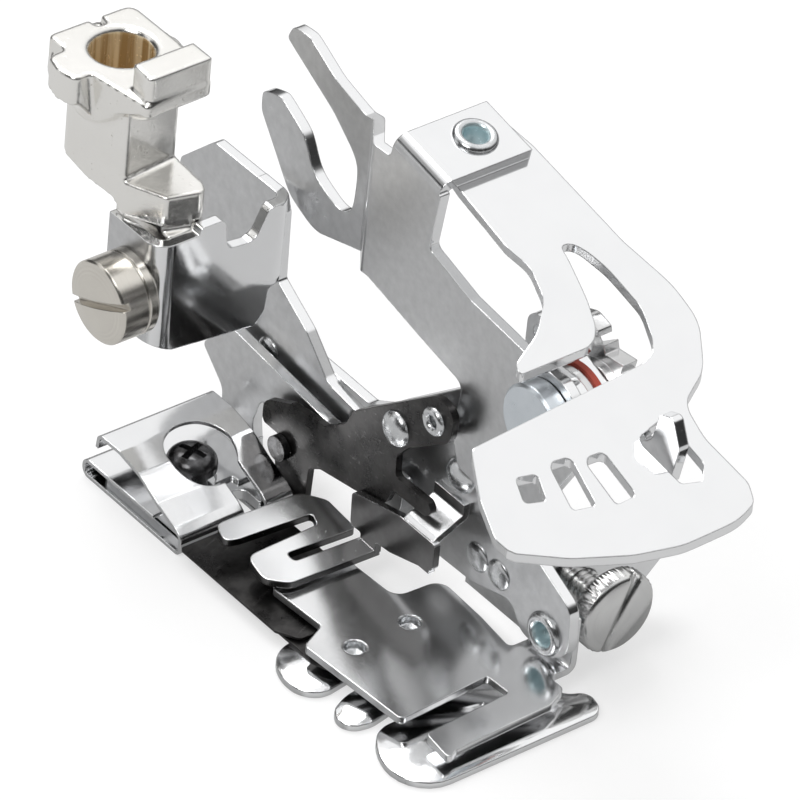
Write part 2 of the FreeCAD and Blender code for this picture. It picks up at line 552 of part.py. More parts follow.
# Rivets that hold the side plate, the doubler and the web together.
flush = [
    (0, 0, 0), (0, r, 0), (3 * g + c.side_left - c.web_left - g, r, 0),
    (3 * g + c.side_left - c.web_left - g, r + 0.6, 0),
    (3 * g + c.side_left - c.web_left - g + 0.6, r + 0.4, 0.2),
    (3 * g + c.side_left - c.web_left - g + 0.6, 0, 0),
]
low_head = [(-0.4, 0, 0), (-0.4, r + 0.3, 0.2), (0, r + 0.5, 0), (0, r, 0), (2 * g, r, 0),
            (2 * g, r + 0.5, 0), (2 * g + 0.6, r + 0.3, 0.2), (2 * g + 0.6, 0, 0)]
domed = dome + [(g, r, 0), (g, r + 0.5, 0), (g + 0.5, r + 0.3, 0.2), (g + 0.5, 0, 0)]
group("frame_rivets", [
    fastener("web_rivet_rear", flush, ("Sizes.web_left", "-6.0", "9.6")),
    fastener("web_rivet_front", flush, ("Sizes.web_left", "-12.0", "9.6")),
    fastener("low_rivet", low_head, ("Sizes.side_left", "9.4", "11.5")),
    fastener("dome_rivet", domed, ("Sizes.side_left", "-21.5", "15.9")),
])

# The upper guide: a plate with a long slot at the front, and a right side that curls up into
# an ear on the side plate's round end.
guide = new_body("upper_guide")
gg = c.guide_gauge
ear_half = 2.9
ear_mid = side_right + gg - c.ear_bend - gg / 2
outline = [
    (-6.9, -12.8, 0.8), (2.3, -12.8, 0.6), (2.7, -20.9, 1.6), (c.side_left - 0.9, -21.2, 1.6),
    (c.side_left - 1.2, -28.0, 1.2),
    (7.4, c.ear_y + ear_half, 0.6), (ear_mid, c.ear_y + ear_half, 0), (ear_mid, c.ear_y - ear_half, 0),
    (7.8, c.ear_y - ear_half, 0.8), (7.8, -41.4, 0.9), (5.2, -42.6, 0.9),
    (-7.1, -43.0, 0.6), (-8.6, -43.8, 0.6), (-8.1, -39.4, 0.7), (2.8, -38.9, 0.4),
    (2.6, -35.7, 0.4), (-8.8, -36.4, 0.7), (-9.8, -22.2, 0.7), (-6.4, -20.6, 0.8),
]
pad(guide, "flat", "XY_Plane", "Sizes.upper_lift", "Sizes.guide_gauge", [outline],
    [(-5.7, -25.1, c.guide_rivet_radius), (1.4, -24.9, c.guide_rivet_radius)])
flat_mid = c.upper_lift + gg / 2
ear_x = side_right + gg / 2
curl = strip([(ear_mid - 1.0, flat_mid, 0), (ear_x, flat_mid, c.ear_bend),
              (ear_x, c.ear_z + ear_half, 0)], gg)
pad(guide, "curl", "XZ_Plane", "-Sizes.ear_y - 2.9", "5.8", [curl])
pocket(guide, "ear_hole", "YZ_Plane", "Sizes.side_left + 4", "3", [],
       [(c.ear_y, c.ear_z, c.tube_rivet_radius)])

# The lower guide lies flat on the machine, with fingers at its left and a rounded right end.
lower_guide = new_body("lower_guide")
outline = [
    (-8.6, -19.2, 0.8), (-11.0, -19.2, 1.6), (-12.4, -22.6, 1.6), (-11.6, -24.8, 1.2),
    (-8.4, -27.6, 1.2), (-11.6, -29.6, 0.7), (-11.9, -31.6, 0.7), (-9.9, -33.4, 0.8),
    (-10.2, -34.6, 0.8), (-12.4, -38.0, 1.6), (-12.0, -42.0, 1.6), (-9.6, -44.0, 1.6),
    (10.0, -43.9, 1.2), (11.4, -42.4, 1.0), (9.0, -40.2, 1.4), (6.2, -30.0, 2.0),
    (4.0, -19.4, 1.2),
]
pad(lower_guide, "base", "XY_Plane", "0", "Sizes.guide_gauge", [outline],
    [(-5.7, -25.1, c.guide_rivet_radius), (1.4, -24.9, c.guide_rivet_radius)])

# Dished rivets through both guides, with a spacer collar between them.
gr = c.guide_rivet_radius
rise = c.upper_lift + gg
spacer = [(0, 0, 0), (0, gr, 0), (gg + c.blade_gauge, gr, 0), (gg + c.blade_gauge, gr + 0.3, 0),
          (c.upper_lift, gr + 0.3, 0), (c.upper_lift, gr, 0), (rise, gr, 0), (rise - 0.35, 0, 0)]
group("guide_rivets", [
    fastener("guide_rivet_left", spacer, ("-5.7", "-25.1", "0"), (0, -90, 0)),
    fastener("guide_rivet_right", spacer, ("1.4", "-24.9", "0"), (0, -90, 0)),
])

# Tubular rivet that pins the ear to the side plate.
tr, tb, th = c.tube_rivet_radius, c.tube_rivet_bore, c.tube_rivet_head
eye = [(-0.5, tb, 0), (-0.6, tr, 0.2), (-0.3, th, 0.15), (0, th, 0), (0, tr, 0), (gg + g, tr, 0),
       (gg + g, th - 0.3, 0), (gg + g + 0.15, th - 0.4, 0.15), (gg + g + 0.15, tb, 0)]
turned("ear_rivet", eye, ("Sizes.side_left", "Sizes.ear_y", "Sizes.ear_z"))

# The adjusting finger: a serpentine spring over the cloth, folded up at its right into an
# upright leaf, whose tab rises to the side plate.
finger = new_body("adjusting_finger")
fg = c.finger_gauge
leaf_mid = c.carrier_left - 0.2 - fg / 2
tab_top = 12.0
bent = strip([(leaf_mid, 6.5, 0), (leaf_mid, 10.2, 0.9), (c.side_left - fg / 2, tab_top, 0.5),
              (c.side_left - fg / 2, tab_top + 1.5, 0)], fg)
pad(finger, "tab", "XZ_Plane", "-Sizes.tab_front - Sizes.tab_wide", "Sizes.tab_wide", [bent])
serpent_z = c.finger_lift + fg / 2
blade_leaf = [
    (-10.9, 4.6, 0.6), (-10.7, 8.6, 0.6), (-18.2, 10.4, 0.4), (c.tab_front - 0.5, 10.4, 0.4),
    (c.tab_front - 0.5, 7.1, 0.8), (-17.2, 5.2, 0.8), (-15.0, 5.0, 0.3), (-15.0, serpent_z, 0),
    (-12.6, serpent_z, 0), (-12.6, 4.7, 0.3),
]
pad(finger, "leaf", "YZ_Plane", "Sizes.carrier_left - 0.2 - Sizes.finger_gauge",
    "Sizes.finger_gauge", [blade_leaf])
right = c.carrier_left - 0.2
serpentine = [
    (-7.0, -3.7, 1.3), (3.4, -4.1, 1.5), (right - 0.2, -6.4, 1.5), (right - 0.3, -11.3, 0.5),
    (-3.5, -10.8, 0.5), (-3.4, -12.2, 0.5), (right, -12.6, 0.2), (right, -15.0, 0.2),
    (-5.8, -14.6, 1.5), (-7.8, -12.8, 1.4), (-7.2, -9.2, 1.3), (1.9, -8.9, 0.4), (2.6, -7.3, 0.4),
    (-6.2, -6.7, 0.3), (-7.8, -6.3, 1.0),
]
pad(finger, "serpentine", "XY_Plane", "Sizes.finger_lift", "Sizes.finger_gauge", [serpentine])

# The fork arm: a plate from its eye on the hub up to the fork, whose prongs are joggled out
# past the clamp box. Its top flange is bent over to carry the selector lever.
hy, hz = c.hub_y, c.hub_z
flange_z = hz + c.flange_rise
plan = strip([(c.arm_left + g / 2, -45, 0), (c.arm_left + g / 2, -5.2, 0.8),
              (prong_left + g / 2, -1.4, 0.8), (prong_left + g / 2, 20, 0)], g)
shift = (prong_left - c.arm_left) * 1.12
plan_sketch = doc.addObject("Sketcher::SketchObject", "arm_plan")
for edge in rounded(plan):
    plan_sketch.addGeometry(edge, False)
plan_sheet = doc.addObject("Part::Extrusion", "arm_plan_sheet")
plan_sheet.Base = plan_sketch
plan_sheet.Dir = Vec(0, 0, 1)
plan_sheet.LengthFwd = 80
plan_sheet.Solid = True
fork = [
    (9.4, 51.2, 0.5), (8.6, 53.0, 0.9), (6.0, 53.2, 0.9), (1.4, 50.7, 1.5), (-3.4, 49.4, 0.8),
    (-4.9, 46.9, 0.8), (-7.4, 46.8, 0.3),
]
lower_prong = [
    (9.6, 43.9, 1.1), (12.5, 43.0, 0.9), (12.4, 40.6, 1.0), (9.6, 37.0, 3.0), (6.9, 33.4, 3.0),
    (2.6, 31.6, 3.0),
]
mouth = [(5.4, 41.6, 2.5), (3.6, 38.0, 3.0), (-2.9, 35.2, 2.2), (-3.2, 43.4, 3.0),
         (1.4, 47.0, 3.0)]
face = (
    moved(fork[:5], shift, -shift)
    + [(-4.0, 46.6, 0.6), (-7.6, 46.8, 0.3), (c.flange_y, flange_z - 1.4, 0.2),
       (c.flange_y - 7.4, flange_z - 2.8, 0.2), (-14.8, 40.0, 0.8), (-21.6, 38.0, 1.5),
       (hy + 4.6, hz + 5.2, 2.0), (hy - 3.6, hz + 5.2, 3.8), (hy - 5.4, hz - 2.0, 4.0),
       (hy - 1.0, hz - 10.0, 4.0), (hy + 5.5, hz - 14.6, 2.5), (-22.4, 18.0, 1.2),
       (-21.0, 21.4, 2.0), (-21.8, 27.8, 1.2), (-14.4, 29.4, 3.0), (-5.8, 31.4, 3.0)]
    + moved(lower_prong[::-1], shift, -shift)
    + moved(mouth, shift, -shift)
)
face_sketch = doc.addObject("Sketcher::SketchObject", "arm_face")
for edge in rounded(face):
    face_sketch.addGeometry(edge, False)
face_sketch.addGeometry(
    Part.Circle(Vec(hy, hz, 0), Vec(0, 0, 1), c.hub_pin_radius + c.hub_fit), False)
face_sketch.Placement = FreeCAD.Placement(Vec(0, 0, 0), FreeCAD.Rotation(Vec(1, 1, 1), 120))
face_block = doc.addObject("Part::Extrusion", "arm_face_block")
face_block.Base = face_sketch
face_block.Dir = Vec(1, 0, 0)
face_block.LengthFwd = 30
face_block.Solid = True
arm_plate = doc.addObject("Part::Common", "arm_plate")
arm_plate.Base = plan_sheet
arm_plate.Tool = face_block
tilt = c.flange_tilt
fz = c.arm_left + g / 2
flange_sketch = doc.addObject("Sketcher::SketchObject", "arm_flange_outline")
flange_strip = strip([(fz, -3.0, 0), (fz, -g / 2, c.arm_bend - g / 2),
                      (arm_right + c.flange_long, -g / 2, 0)], g)
for edge in rounded(flange_strip):
    flange_sketch.addGeometry(edge, False)
flange_sketch.Placement = FreeCAD.Placement(Vec(0, 0, 0), FreeCAD.Rotation(Vec(1, 0, 0), 90))
flange_solid = doc.addObject("Part::Extrusion", "arm_flange_solid")
flange_solid.Base = flange_sketch
flange_solid.Dir = Vec(0, -1, 0)
flange_solid.LengthFwd = 7.5
flange_solid.Solid = True
flange_solid.Placement = FreeCAD.Placement(
    Vec(0, c.flange_y, flange_z), FreeCAD.Rotation(Vec(1, 0, 0), tilt))
arm_whole = doc.addObject("Part::MultiFuse", "arm_whole")
arm_whole.Shapes = [arm_plate, flange_solid]
arm_whole.Refine = True
rivet_x, rivet_run = 15.0, 3.6
hole = doc.addObject("Part::Cylinder", "arm_rivet_hole")
hole.setExpression("Radius", "Sizes.tube_rivet_radius")
hole.Height = 12
hole.Placement = FreeCAD.Placement(
    Vec(rivet_x, c.flange_y - rivet_run * math.cos(math.radians(tilt)),
        flange_z - rivet_run * math.sin(math.radians(tilt))),
    FreeCAD.Rotation(Vec(1, 0, 0), tilt)).multiply(FreeCAD.Placement(Vec(0, 0, -6), FreeCAD.Rotation()))
arm = doc.addObject("Part::Cut", "fork_arm")
arm.Label = "fork_arm"
arm.Base = arm_whole
arm.Tool = hole
parts["fork_arm"] = arm

# The selector lever is a spring sheet under the flange: it falls gently to a bend and then
# steeply as the selector plate, with four slots for the lug.
lg = c.lever_gauge
sin_t, cos_t = math.sin(math.radians(tilt)), math.cos(math.radians(tilt))
start_y = c.flange_y - 0.6
gap = g + lg / 2
line = lambda y: flange_z + (y - c.flange_y) * math.tan(math.radians(tilt)) - gap / cos_t
bend_z = line(c.bend_y)
end_y = -60.0
end_z = bend_z + (end_y - c.bend_y) * math.tan(math.radians(c.selector_tilt))
side = strip([(start_y, line(start_y), 0), (c.bend_y, bend_z, 6.0), (end_y, end_z, 0)], lg)
side_sketch = doc.addObject("Sketcher::SketchObject", "lever_side")
for edge in rounded(side):
    side_sketch.addGeometry(edge, False)
side_sketch.Placement = FreeCAD.Placement(Vec(-20, 0, 0), FreeCAD.Rotation(Vec(1, 1, 1), 120))
side_sheet = doc.addObject("Part::Extrusion", "lever_side_sheet")
side_sheet.Base = side_sketch
side_sheet.Dir = Vec(1, 0, 0)
side_sheet.LengthFwd = 60
side_sheet.Solid = True
rim_points = [
    (11.0, -9.6, 1.0), (10.0, -15.8, 1.0), (9.4, -24.1, 3.0), (9.9, -27.4, 2.0),
    (9.4, -30.4, 2.0), (6.6, -32.9, 2.0), (2.8, -34.5, 0.9), (2.4, -35.6, 0.9),
    (12.6, -35.6, 3.0), (13.8, -31.6, 4.0), (14.2, -28.2, 1.5), (14.4, -26.2, 1.0),
    (15.8, -26.6, 1.2), (17.6, -29.6, 3.0), (18.8, -34.2, 3.0), (17.8, -37.9, 2.5),
    (15.4, -38.7, 2.0), (13.2, -38.8, 3.0), (-2.6, -39.6, 1.0), (-6.6, -39.8, 0.8),
    (-8.6, -44.0, 3.0), (-9.4, -47.6, 1.2), (-8.6, -49.2, 1.8), (-3.0, -51.6, 12.0),
    (3.4, -53.4, 12.0), (9.0, -54.3, 10.0), (15.8, -54.2, 4.0), (18.6, -53.4, 1.2),
    (19.2, -51.6, 1.4), (17.4, -46.6, 4.0), (17.4, -43.2, 2.0), (21.4, -41.2, 4.0),
    (23.9, -37.2, 4.0), (23.4, -33.4, 4.0), (20.6, -27.6, 5.0), (20.6, -14.2, 2.0),
    (20.0, -9.6, 1.0),
]
slots = [
    [(-3.9, -43.5, 0.5), (-1.5, -43.9, 0.5), (-2.1, -46.3, 0.5), (-4.5, -45.8, 0.5)],
    [(0.2, -43.4, 0.8), (2.8, -43.6, 0.8), (2.6, -48.3, 0.5), (-0.1, -47.9, 0.5)],
    [(3.9, -44.2, 0.8), (6.4, -44.3, 0.8), (7.2, -48.8, 0.5), (4.6, -48.9, 0.5)],
    [(10.4, -44.4, 1.0), (14.6, -43.6, 1.0), (15.8, -48.6, 0.6), (14.6, -49.9, 0.6),
     (12.3, -49.4, 0.6), (11.1, -46.2, 0.8)],
]
rim_sketch = doc.addObject("Sketcher::SketchObject", "lever_rim")
for outline in [rim_points] + slots:
    for edge in rounded(outline):
        rim_sketch.addGeometry(edge, False)
rim_block = doc.addObject("Part::Extrusion", "lever_rim_block")
rim_block.Base = rim_sketch
rim_block.Dir = Vec(0, 0, 1)
rim_block.LengthFwd = 70
rim_block.Solid = True
lever_plate = doc.addObject("Part::Common", "lever_plate")
lever_plate.Base = side_sheet
lever_plate.Tool = rim_block
lever_hole = doc.addObject("Part::Cylinder", "lever_rivet_hole")
lever_hole.setExpression("Radius", "Sizes.tube_rivet_radius + Sizes.hub_fit")
lever_hole.Height = 12
lever_hole.Placement = hole.Placement
lever = doc.addObject("Part::Cut", "selector_lever")
lever.Label = "selector_lever"
lever.Base = lever_plate
lever.Tool = lever_hole
parts["selector_lever"] = lever

# Tubular rivet through the flange and the lever; its lower head keeps a running gap.
grip = g + lg
eye = [(-grip - 0.75, tb, 0), (-grip - 0.75, th - 0.2, 0.15), (-grip - 0.2, th, 0),
       (-grip - 0.1, th, 0), (-grip - 0.1, tr, 0), (0, tr, 0), (0, th, 0), (0.3, th, 0.15),
       (0.6, tr, 0.2), (0.5, tb, 0)]
selector_rivet = turned("selector_rivet", eye, ())
selector_rivet.Placement = FreeCAD.Placement(
    Vec(rivet_x, c.flange_y - rivet_run * cos_t, flange_z - rivet_run * sin_t),
    FreeCAD.Rotation(Vec(1, 0, 0), tilt).multiply(FreeCAD.Rotation(Vec(0, 1, 0), -90)))

# The hub: a pin with a flat head, then the arm, the side plate, a drum, a fibre washer, the
# drive lever and the ratchet wheel.
sg = c.stack_gap
x_drum = side_right
x_washer = x_drum + c.drum_long
x_drive = x_washer + c.washer_long + sg
drive_gauge = g
x_ratchet = x_drive + drive_gauge + sg
x_end = x_ratchet + c.ratchet_hub_long + c.ratchet_wide + sg
hp = c.hub_pin_radius
start = c.arm_left - sg
turned(
    "hub_pin",
    [(-c.hub_head_long, 0, 0), (-c.hub_head_long, c.hub_head_radius - 0.3, 0),
     (-c.hub_head_long + 0.3, c.hub_head_radius, 0), (0, c.hub_head_radius, 0), (0, hp, 0),
     (x_end - start, hp, 0), (x_end - start, hp + 1.1, 0), (x_end - start + 0.8, hp + 0.8, 0.3),
     (x_end - start + 0.8, 0, 0)],
    ("Sizes.arm_left - Sizes.stack_gap", "Sizes.hub_y", "Sizes.hub_z"))
turned("hub_drum", [(0, hp, 0), (0, c.drum_radius, 0.1), (c.drum_long, c.drum_radius, 0.1),
                    (c.drum_long, hp, 0)],
       ("Sizes.side_left + Sizes.frame_gauge", "Sizes.hub_y", "Sizes.hub_z"))
turned("hub_washer", [(0, hp, 0), (0, c.washer_radius, 0.1), (c.washer_long, c.washer_radius, 0.1),
                      (c.washer_long, hp, 0)],
       ("Sizes.side_left + Sizes.frame_gauge + Sizes.drum_long", "Sizes.hub_y", "Sizes.hub_z"))

# The drive lever turns on the hub pin; its upper end is the lug in the selector plate's slot.
drive = new_body("drive_lever")
eye_r = 4.4
pawl_y, pawl_z = hy + c.pawl_out, hz + c.pawl_up
lug = [
    (hy + 1.0, hz + eye_r, 3.0), (hy + 5.0, hz + c.pawl_up + 2.2, 1.5),
    (pawl_y + 1.9, pawl_z + 1.8, 1.6), (pawl_y + 1.9, pawl_z - 2.2, 1.6), (hy + 4.2, hz - 3.8, 3.0),
    (hy - 3.0, hz - 4.2, 3.0), (-44.2, 27.4, 2.0), (-47.9, 30.9, 0.4), (-48.7, 35.4, 0.8),
    (-47.3, 38.3, 0.7), (-45.4, 37.6, 0.7), (-44.4, 32.6, 2.0), (hy - 4.0, hz + 2.6, 2.0),
]
pad(drive, "drive_plate", "YZ_Plane",
    "Sizes.side_left + Sizes.frame_gauge + Sizes.drum_long + Sizes.washer_long + Sizes.stack_gap",
    "Sizes.frame_gauge", [lug], [(hy, hz, hp + c.hub_fit), (pawl_y, pawl_z, 0.9)])

# Ratchet wheel with a collar; each tooth has one steep face.
ratchet = new_body("ratchet_wheel")
teeth = int(c.ratchet_teeth)
wheel = []
for i in range(teeth):
    angle = 2 * math.pi * i / teeth
    tip = angle + 2 * math.pi / teeth * 0.9
    wheel.append((hy + c.ratchet_root * math.cos(angle), hz + c.ratchet_root * math.sin(angle), 0.1))
    wheel.append((hy + c.ratchet_radius * math.cos(tip), hz + c.ratchet_radius * math.sin(tip), 0.1))
x_expr = ("Sizes.side_left + 2 * Sizes.frame_gauge + Sizes.drum_long + Sizes.washer_long"
          " + 2 * Sizes.stack_gap")
pad(ratchet, "collar", "YZ_Plane", x_expr, "Sizes.ratchet_hub_long", [],
    [(hy, hz, c.ratchet_root - 1.0), (hy, hz, hp + c.hub_fit)])
pad(ratchet, "teeth", "YZ_Plane", x_expr + " + Sizes.ratchet_hub_long", "Sizes.ratchet_wide",
    [wheel], [(hy, hz, hp + c.hub_fit)])

# The pawl and its pin: the pin is riveted in the drive lever, the pawl turns on it.
x_teeth = x_ratchet + c.ratchet_hub_long
pin_long = x_teeth + c.ratchet_wide - x_drive
turned("pawl_pin",
       [(0, 0, 0), (0, 0.9, 0), (pin_long, 0.9, 0), (pin_long, 1.5, 0), (pin_long + 0.4, 1.4, 0.1),
        (pin_long + 0.4, 0, 0)],
       ("Sizes.side_left + Sizes.frame_gauge + Sizes.drum_long + Sizes.washer_long"
        " + Sizes.stack_gap", "Sizes.hub_y + Sizes.pawl_out", "Sizes.hub_z + Sizes.pawl_up"))
pawl = new_body("pawl")
beak = [
    (pawl_y + 1.4, pawl_z - 0.7, 0.9), (pawl_y + 1.4, pawl_z + 1.1, 1.0),
    (pawl_y - 0.6, pawl_z + 2.3, 1.6), (hy + 3.4, hz + 7.5, 1.6), (hy + 1.4, hz + 7.0, 0.3),
    (hy + 1.2, hz + 6.3, 0.1), (hy + 4.0, hz + 5.3, 1.6), (pawl_y - 1.2, pawl_z - 0.9, 0.8),
    (pawl_y - 0.2, pawl_z - 1.3, 0.8),
]
pad(pawl, "beak", "YZ_Plane", x_expr + " + Sizes.ratchet_hub_long", "Sizes.ratchet_wide - 0.1",
    [beak], [(pawl_y, pawl_z, 0.95)])

# The depth bracket: a leaf on the side plate bent out to a flange with the threaded hole.
depth = new_body("depth_bracket")
dg = 1.0
df = c.depth_flange
leaf_x = side_right + dg / 2
depth_x = side_right + c.depth_out
flange_end = depth_x + c.depth_reach
plan = strip([(leaf_x, df + c.depth_leaf, 0), (leaf_x, df + dg / 2, 0.9), (flange_end, df + dg / 2, 0)], dg)
pad(depth, "bent_leaf", "XY_Plane", "2.4", "11.4", [plan])
trim = [(9, 1.0, 0), (9, 2.5, 0), (flange_end - 2.9, 3.4, 2.5), (flange_end + 0.5, 6.8, 1.5),
        (flange_end + 0.5, 12.0, 1.0), (flange_end + 2.5, 12.4, 0), (flange_end + 2.5, 1.0, 0)]
pocket(depth, "flange_corner", "XZ_Plane", "50", "60", [trim])
pocket(depth, "thread_hole", "XZ_Plane", "50", "60", [],
       [(depth_x, c.depth_z, c.depth_radius + c.thread_fit)])
depth_holes = [(-25.2, 8.0, r), (-28.6, 8.0, r)]
doc.recompute()
pocket(depth, "leaf_holes", "YZ_Plane", "Sizes.side_left + 4", "5", [], depth_holes)

# The depth screw: knurled and slotted head in front, thread through the bracket's flange.
dh = c.depth_head_radius
dl = c.depth_head_long
knob = turned(
    "depth_screw",
    [(0, 0, 0), (0, dh - 0.5, 0), (0.4, dh - 0.1, 0), (dl - 0.4, dh - 0.1, 0), (dl, dh - 0.5, 0),
     (dl, c.depth_radius + 0.3, 0), (dl + 1.2, c.depth_radius + 0.3, 0),
     (dl + 1.2, c.depth_radius, 0), (dl + c.depth_long, c.depth_radius, 0),
     (dl + c.depth_long, 0, 0)],
    ("Sizes.side_left + Sizes.frame_gauge + Sizes.depth_out", "Sizes.depth_face", "Sizes.depth_z"),
    (90, 0, 0))
knurls = int(c.knurls)
ring = []
for i in range(knurls):
    for share, radius in ((0.0, dh - 0.22), (0.5, dh)):
        angle = 2 * math.pi * (i + share) / knurls
        ring.append((radius * math.cos(angle), radius * math.sin(angle), 0))
pad(knob, "knurl", "YZ_Plane", "0.5", "Sizes.depth_head_long - 1.0", [ring])
pocket(knob, "driver_slot", "YZ_Plane", "1.0", "3",
       [[(-dh - 1, -w, 0), (dh + 1, -w, 0), (dh + 1, w, 0), (-dh - 1, w, 0)]])

# Two rivets hold the depth bracket to the side plate.
flat_rivet = [(-0.4, 0, 0), (-0.4, r + 0.3, 0.2), (0, r + 0.4, 0), (0, r, 0), (g + dg, r, 0),
              (g + dg, r + 0.4, 0), (g + dg + 0.4, r + 0.2, 0.1), (g + dg + 0.4, 0, 0)]
group("depth_rivets", [
    fastener("depth_rivet_rear", flat_rivet, ("Sizes.side_left", "-25.2", "8.0")),
    fastener("depth_rivet_front", flat_rivet, ("Sizes.side_left", "-28.6", "8.0")),
])

# Nothing is written unless every object is sound.
doc.recompute()
for item in doc.Objects:
    if {"Invalid", "Error"} & set(item.State):
        raise ValueError(f"{item.Label}: {item.State}")
for label, piece in parts.items():
    if piece.Shape.isNull() or not piece.Shape.isValid() or not piece.Shape.Solids:
        raise ValueError(f"{label} has no sound shape")
os.makedirs("parts", exist_ok=True)
for label, piece in parts.items():
    piece.Shape.exportStep(f"parts/{label}.step")
    box = piece.Shape.BoundBox
    print(f"{label:18s} solids {len(piece.Shape.Solids)}  x {box.XMin:6.1f} {box.XMax:6.1f}"
          f"  y {box.YMin:6.1f} {box.YMax:6.1f}  z {box.ZMin:6.1f} {box.ZMax:6.1f}"
          f"  volume {piece.Shape.Volume:8.1f}")
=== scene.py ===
import bpy
import bmesh
import math
from mathutils import Matrix, Vector


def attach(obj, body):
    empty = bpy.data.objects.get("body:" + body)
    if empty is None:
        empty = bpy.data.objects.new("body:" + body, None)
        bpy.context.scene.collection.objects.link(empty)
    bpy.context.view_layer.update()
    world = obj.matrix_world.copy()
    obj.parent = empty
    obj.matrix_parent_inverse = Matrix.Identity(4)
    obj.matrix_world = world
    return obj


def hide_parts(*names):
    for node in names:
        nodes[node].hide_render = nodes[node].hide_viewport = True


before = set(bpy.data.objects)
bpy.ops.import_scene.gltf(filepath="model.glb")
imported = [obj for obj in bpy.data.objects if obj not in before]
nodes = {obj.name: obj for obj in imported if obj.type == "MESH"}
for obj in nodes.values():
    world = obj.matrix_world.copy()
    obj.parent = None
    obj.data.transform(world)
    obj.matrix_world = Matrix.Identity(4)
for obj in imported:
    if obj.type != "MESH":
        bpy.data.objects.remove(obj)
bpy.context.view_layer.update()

# ---------------------------------------------------------------------------
# The shank: one zinc casting under warm nickel, tumbled so that its edges are
# soft, with a brass-coloured cone bored down from the top for the presser bar.
# It is clamped into the bracket's box by the side screw.
# ---------------------------------------------------------------------------


class Wire:
    """One socket of a finish, so that its sums read as plain sums."""

    def __init__(self, finish, socket):
        self.finish, self.socket = finish, socket

    def part(self, name):
        """Another output of the same node."""
        return Wire(self.finish, self.socket.node.outputs[name])

    def _sum(self, operation, first, second=0.0):
        return self.finish.node("Math", {"operation": operation}, {0: first, 1: second})

    def __add__(self, other):
        return self._sum("ADD", self, other)

    def __radd__(self, other):
        return self._sum("ADD", other, self)

    def __sub__(self, other):
        return self._sum("SUBTRACT", self, other)

    def __rsub__(self, other):
        return self._sum("SUBTRACT", other, self)

    def __mul__(self, other):
        return self._sum("MULTIPLY", self, other)

    def __rmul__(self, other):
        return self._sum("MULTIPLY", other, self)

    def __abs__(self):
        return self._sum("ABSOLUTE", self)


class Finish:
    """The shader tree of one material or of the world, built node by node."""

    def __init__(self, owner):
        self.owner = owner
        owner.use_nodes = True
        self.tree = owner.node_tree
        self.tree.nodes.clear()
        self.coordinates = self.node("TexCoord", {}, {})
        self.place = self.coordinates.part("Object")

    def node(self, kind, settings, inputs):
        """Adds one shader node: its settings first, then the values or links of its sockets."""
        made = self.tree.nodes.new("ShaderNode" + kind)
        for name, value in settings.items():
            if name == "stops":
                while len(made.color_ramp.elements) < len(value):
                    made.color_ramp.elements.new(1.0)
                for element, (where, grey) in zip(made.color_ramp.elements, value):
                    element.position = where
                    element.color = (grey, grey, grey, 1.0)
            else:
                setattr(made, name, value)
        for name, value in inputs.items():
            if isinstance(value, Wire):
                self.tree.links.new(value.socket, made.inputs[name])
            else:
                made.inputs[name].default_value = value
        return Wire(self, made.outputs[0]) if made.outputs else None

    def vector(self, operation, first, second=(0, 0, 0)):
        """A vector sum; a length or a dot product comes out as a plain value."""
        made = self.node("VectorMath", {"operation": operation}, {0: first, 1: second})
        return made.part("Value") if operation in ("LENGTH", "DOT_PRODUCT") else made

    def component(self, vector, axis):
        """One of a vector's three values."""
        return self.node("SeparateXYZ", {}, {0: vector}).part(axis)

    def facing(self, axis):
        """How squarely a face looks along a row axis, -1 to 1."""
        return self.component(self.coordinates.part("Normal"), axis)

    def from_axis(self, axis, centre):
        """How many metres a spot lies from the line along a row axis through `centre`."""
        flat = tuple(0.0 if letter == axis else 1.0 for letter in "XYZ")
        away = self.vector("SUBTRACT", self.place, centre)
        return self.vector("LENGTH", self.vector("MULTIPLY", away, flat))

    def noise(self, size, detail=2.0, rough=0.5, stretch=(1, 1, 1), turn=(0, 0, 0)):
        """Soft cloudy noise, 0 to 1, with spots about `size` metres across, longer where stretch is above 1."""
        spread = self.node("Mapping", {"vector_type": "TEXTURE"},
                           {"Vector": self.place, "Rotation": turn, "Scale": stretch})
        return self.node("TexNoise", {},
                         {"Vector": spread, "Scale": 1.0 / size, "Detail": detail, "Roughness": rough})

    def step(self, value, low, high):
        """0 below low, 1 above high, and smooth between."""
        return self.node("MapRange", {"interpolation_type": "SMOOTHSTEP"},
                         {"Value": value, "From Min": low, "From Max": high})

    def blend(self, share, under, over):
        """The colour `over` laid on `under` where share is 1."""
        return self.node("Mix", {"data_type": "RGBA"}, {0: share, 6: under, 7: over}).part(2)

    def surface(self, colour, roughness, relief, edge, metallic=1.0):
        """Ends the finish: relief is a height in metres, edge the radius of the worn edges in metres."""
        worn = self.node("Bevel", {"samples": 6}, {"Radius": edge})
        bumped = self.node("Bump", {}, {"Height": relief, "Strength": 1.0, "Distance": 1.0, "Normal": worn})
        shader = self.node("BsdfPrincipled", {}, {"Base Color": colour, "Metallic": metallic,
                                                  "Roughness": roughness, "Normal": bumped})
        self.node("OutputMaterial", {}, {"Surface": shader})
        return self.owner


def dress(finished, *names):
    """Gives CAD nodes their finish."""
    for name in names:
        mesh = nodes[name].data
        mesh.materials.clear()
        mesh.materials.append(finished)


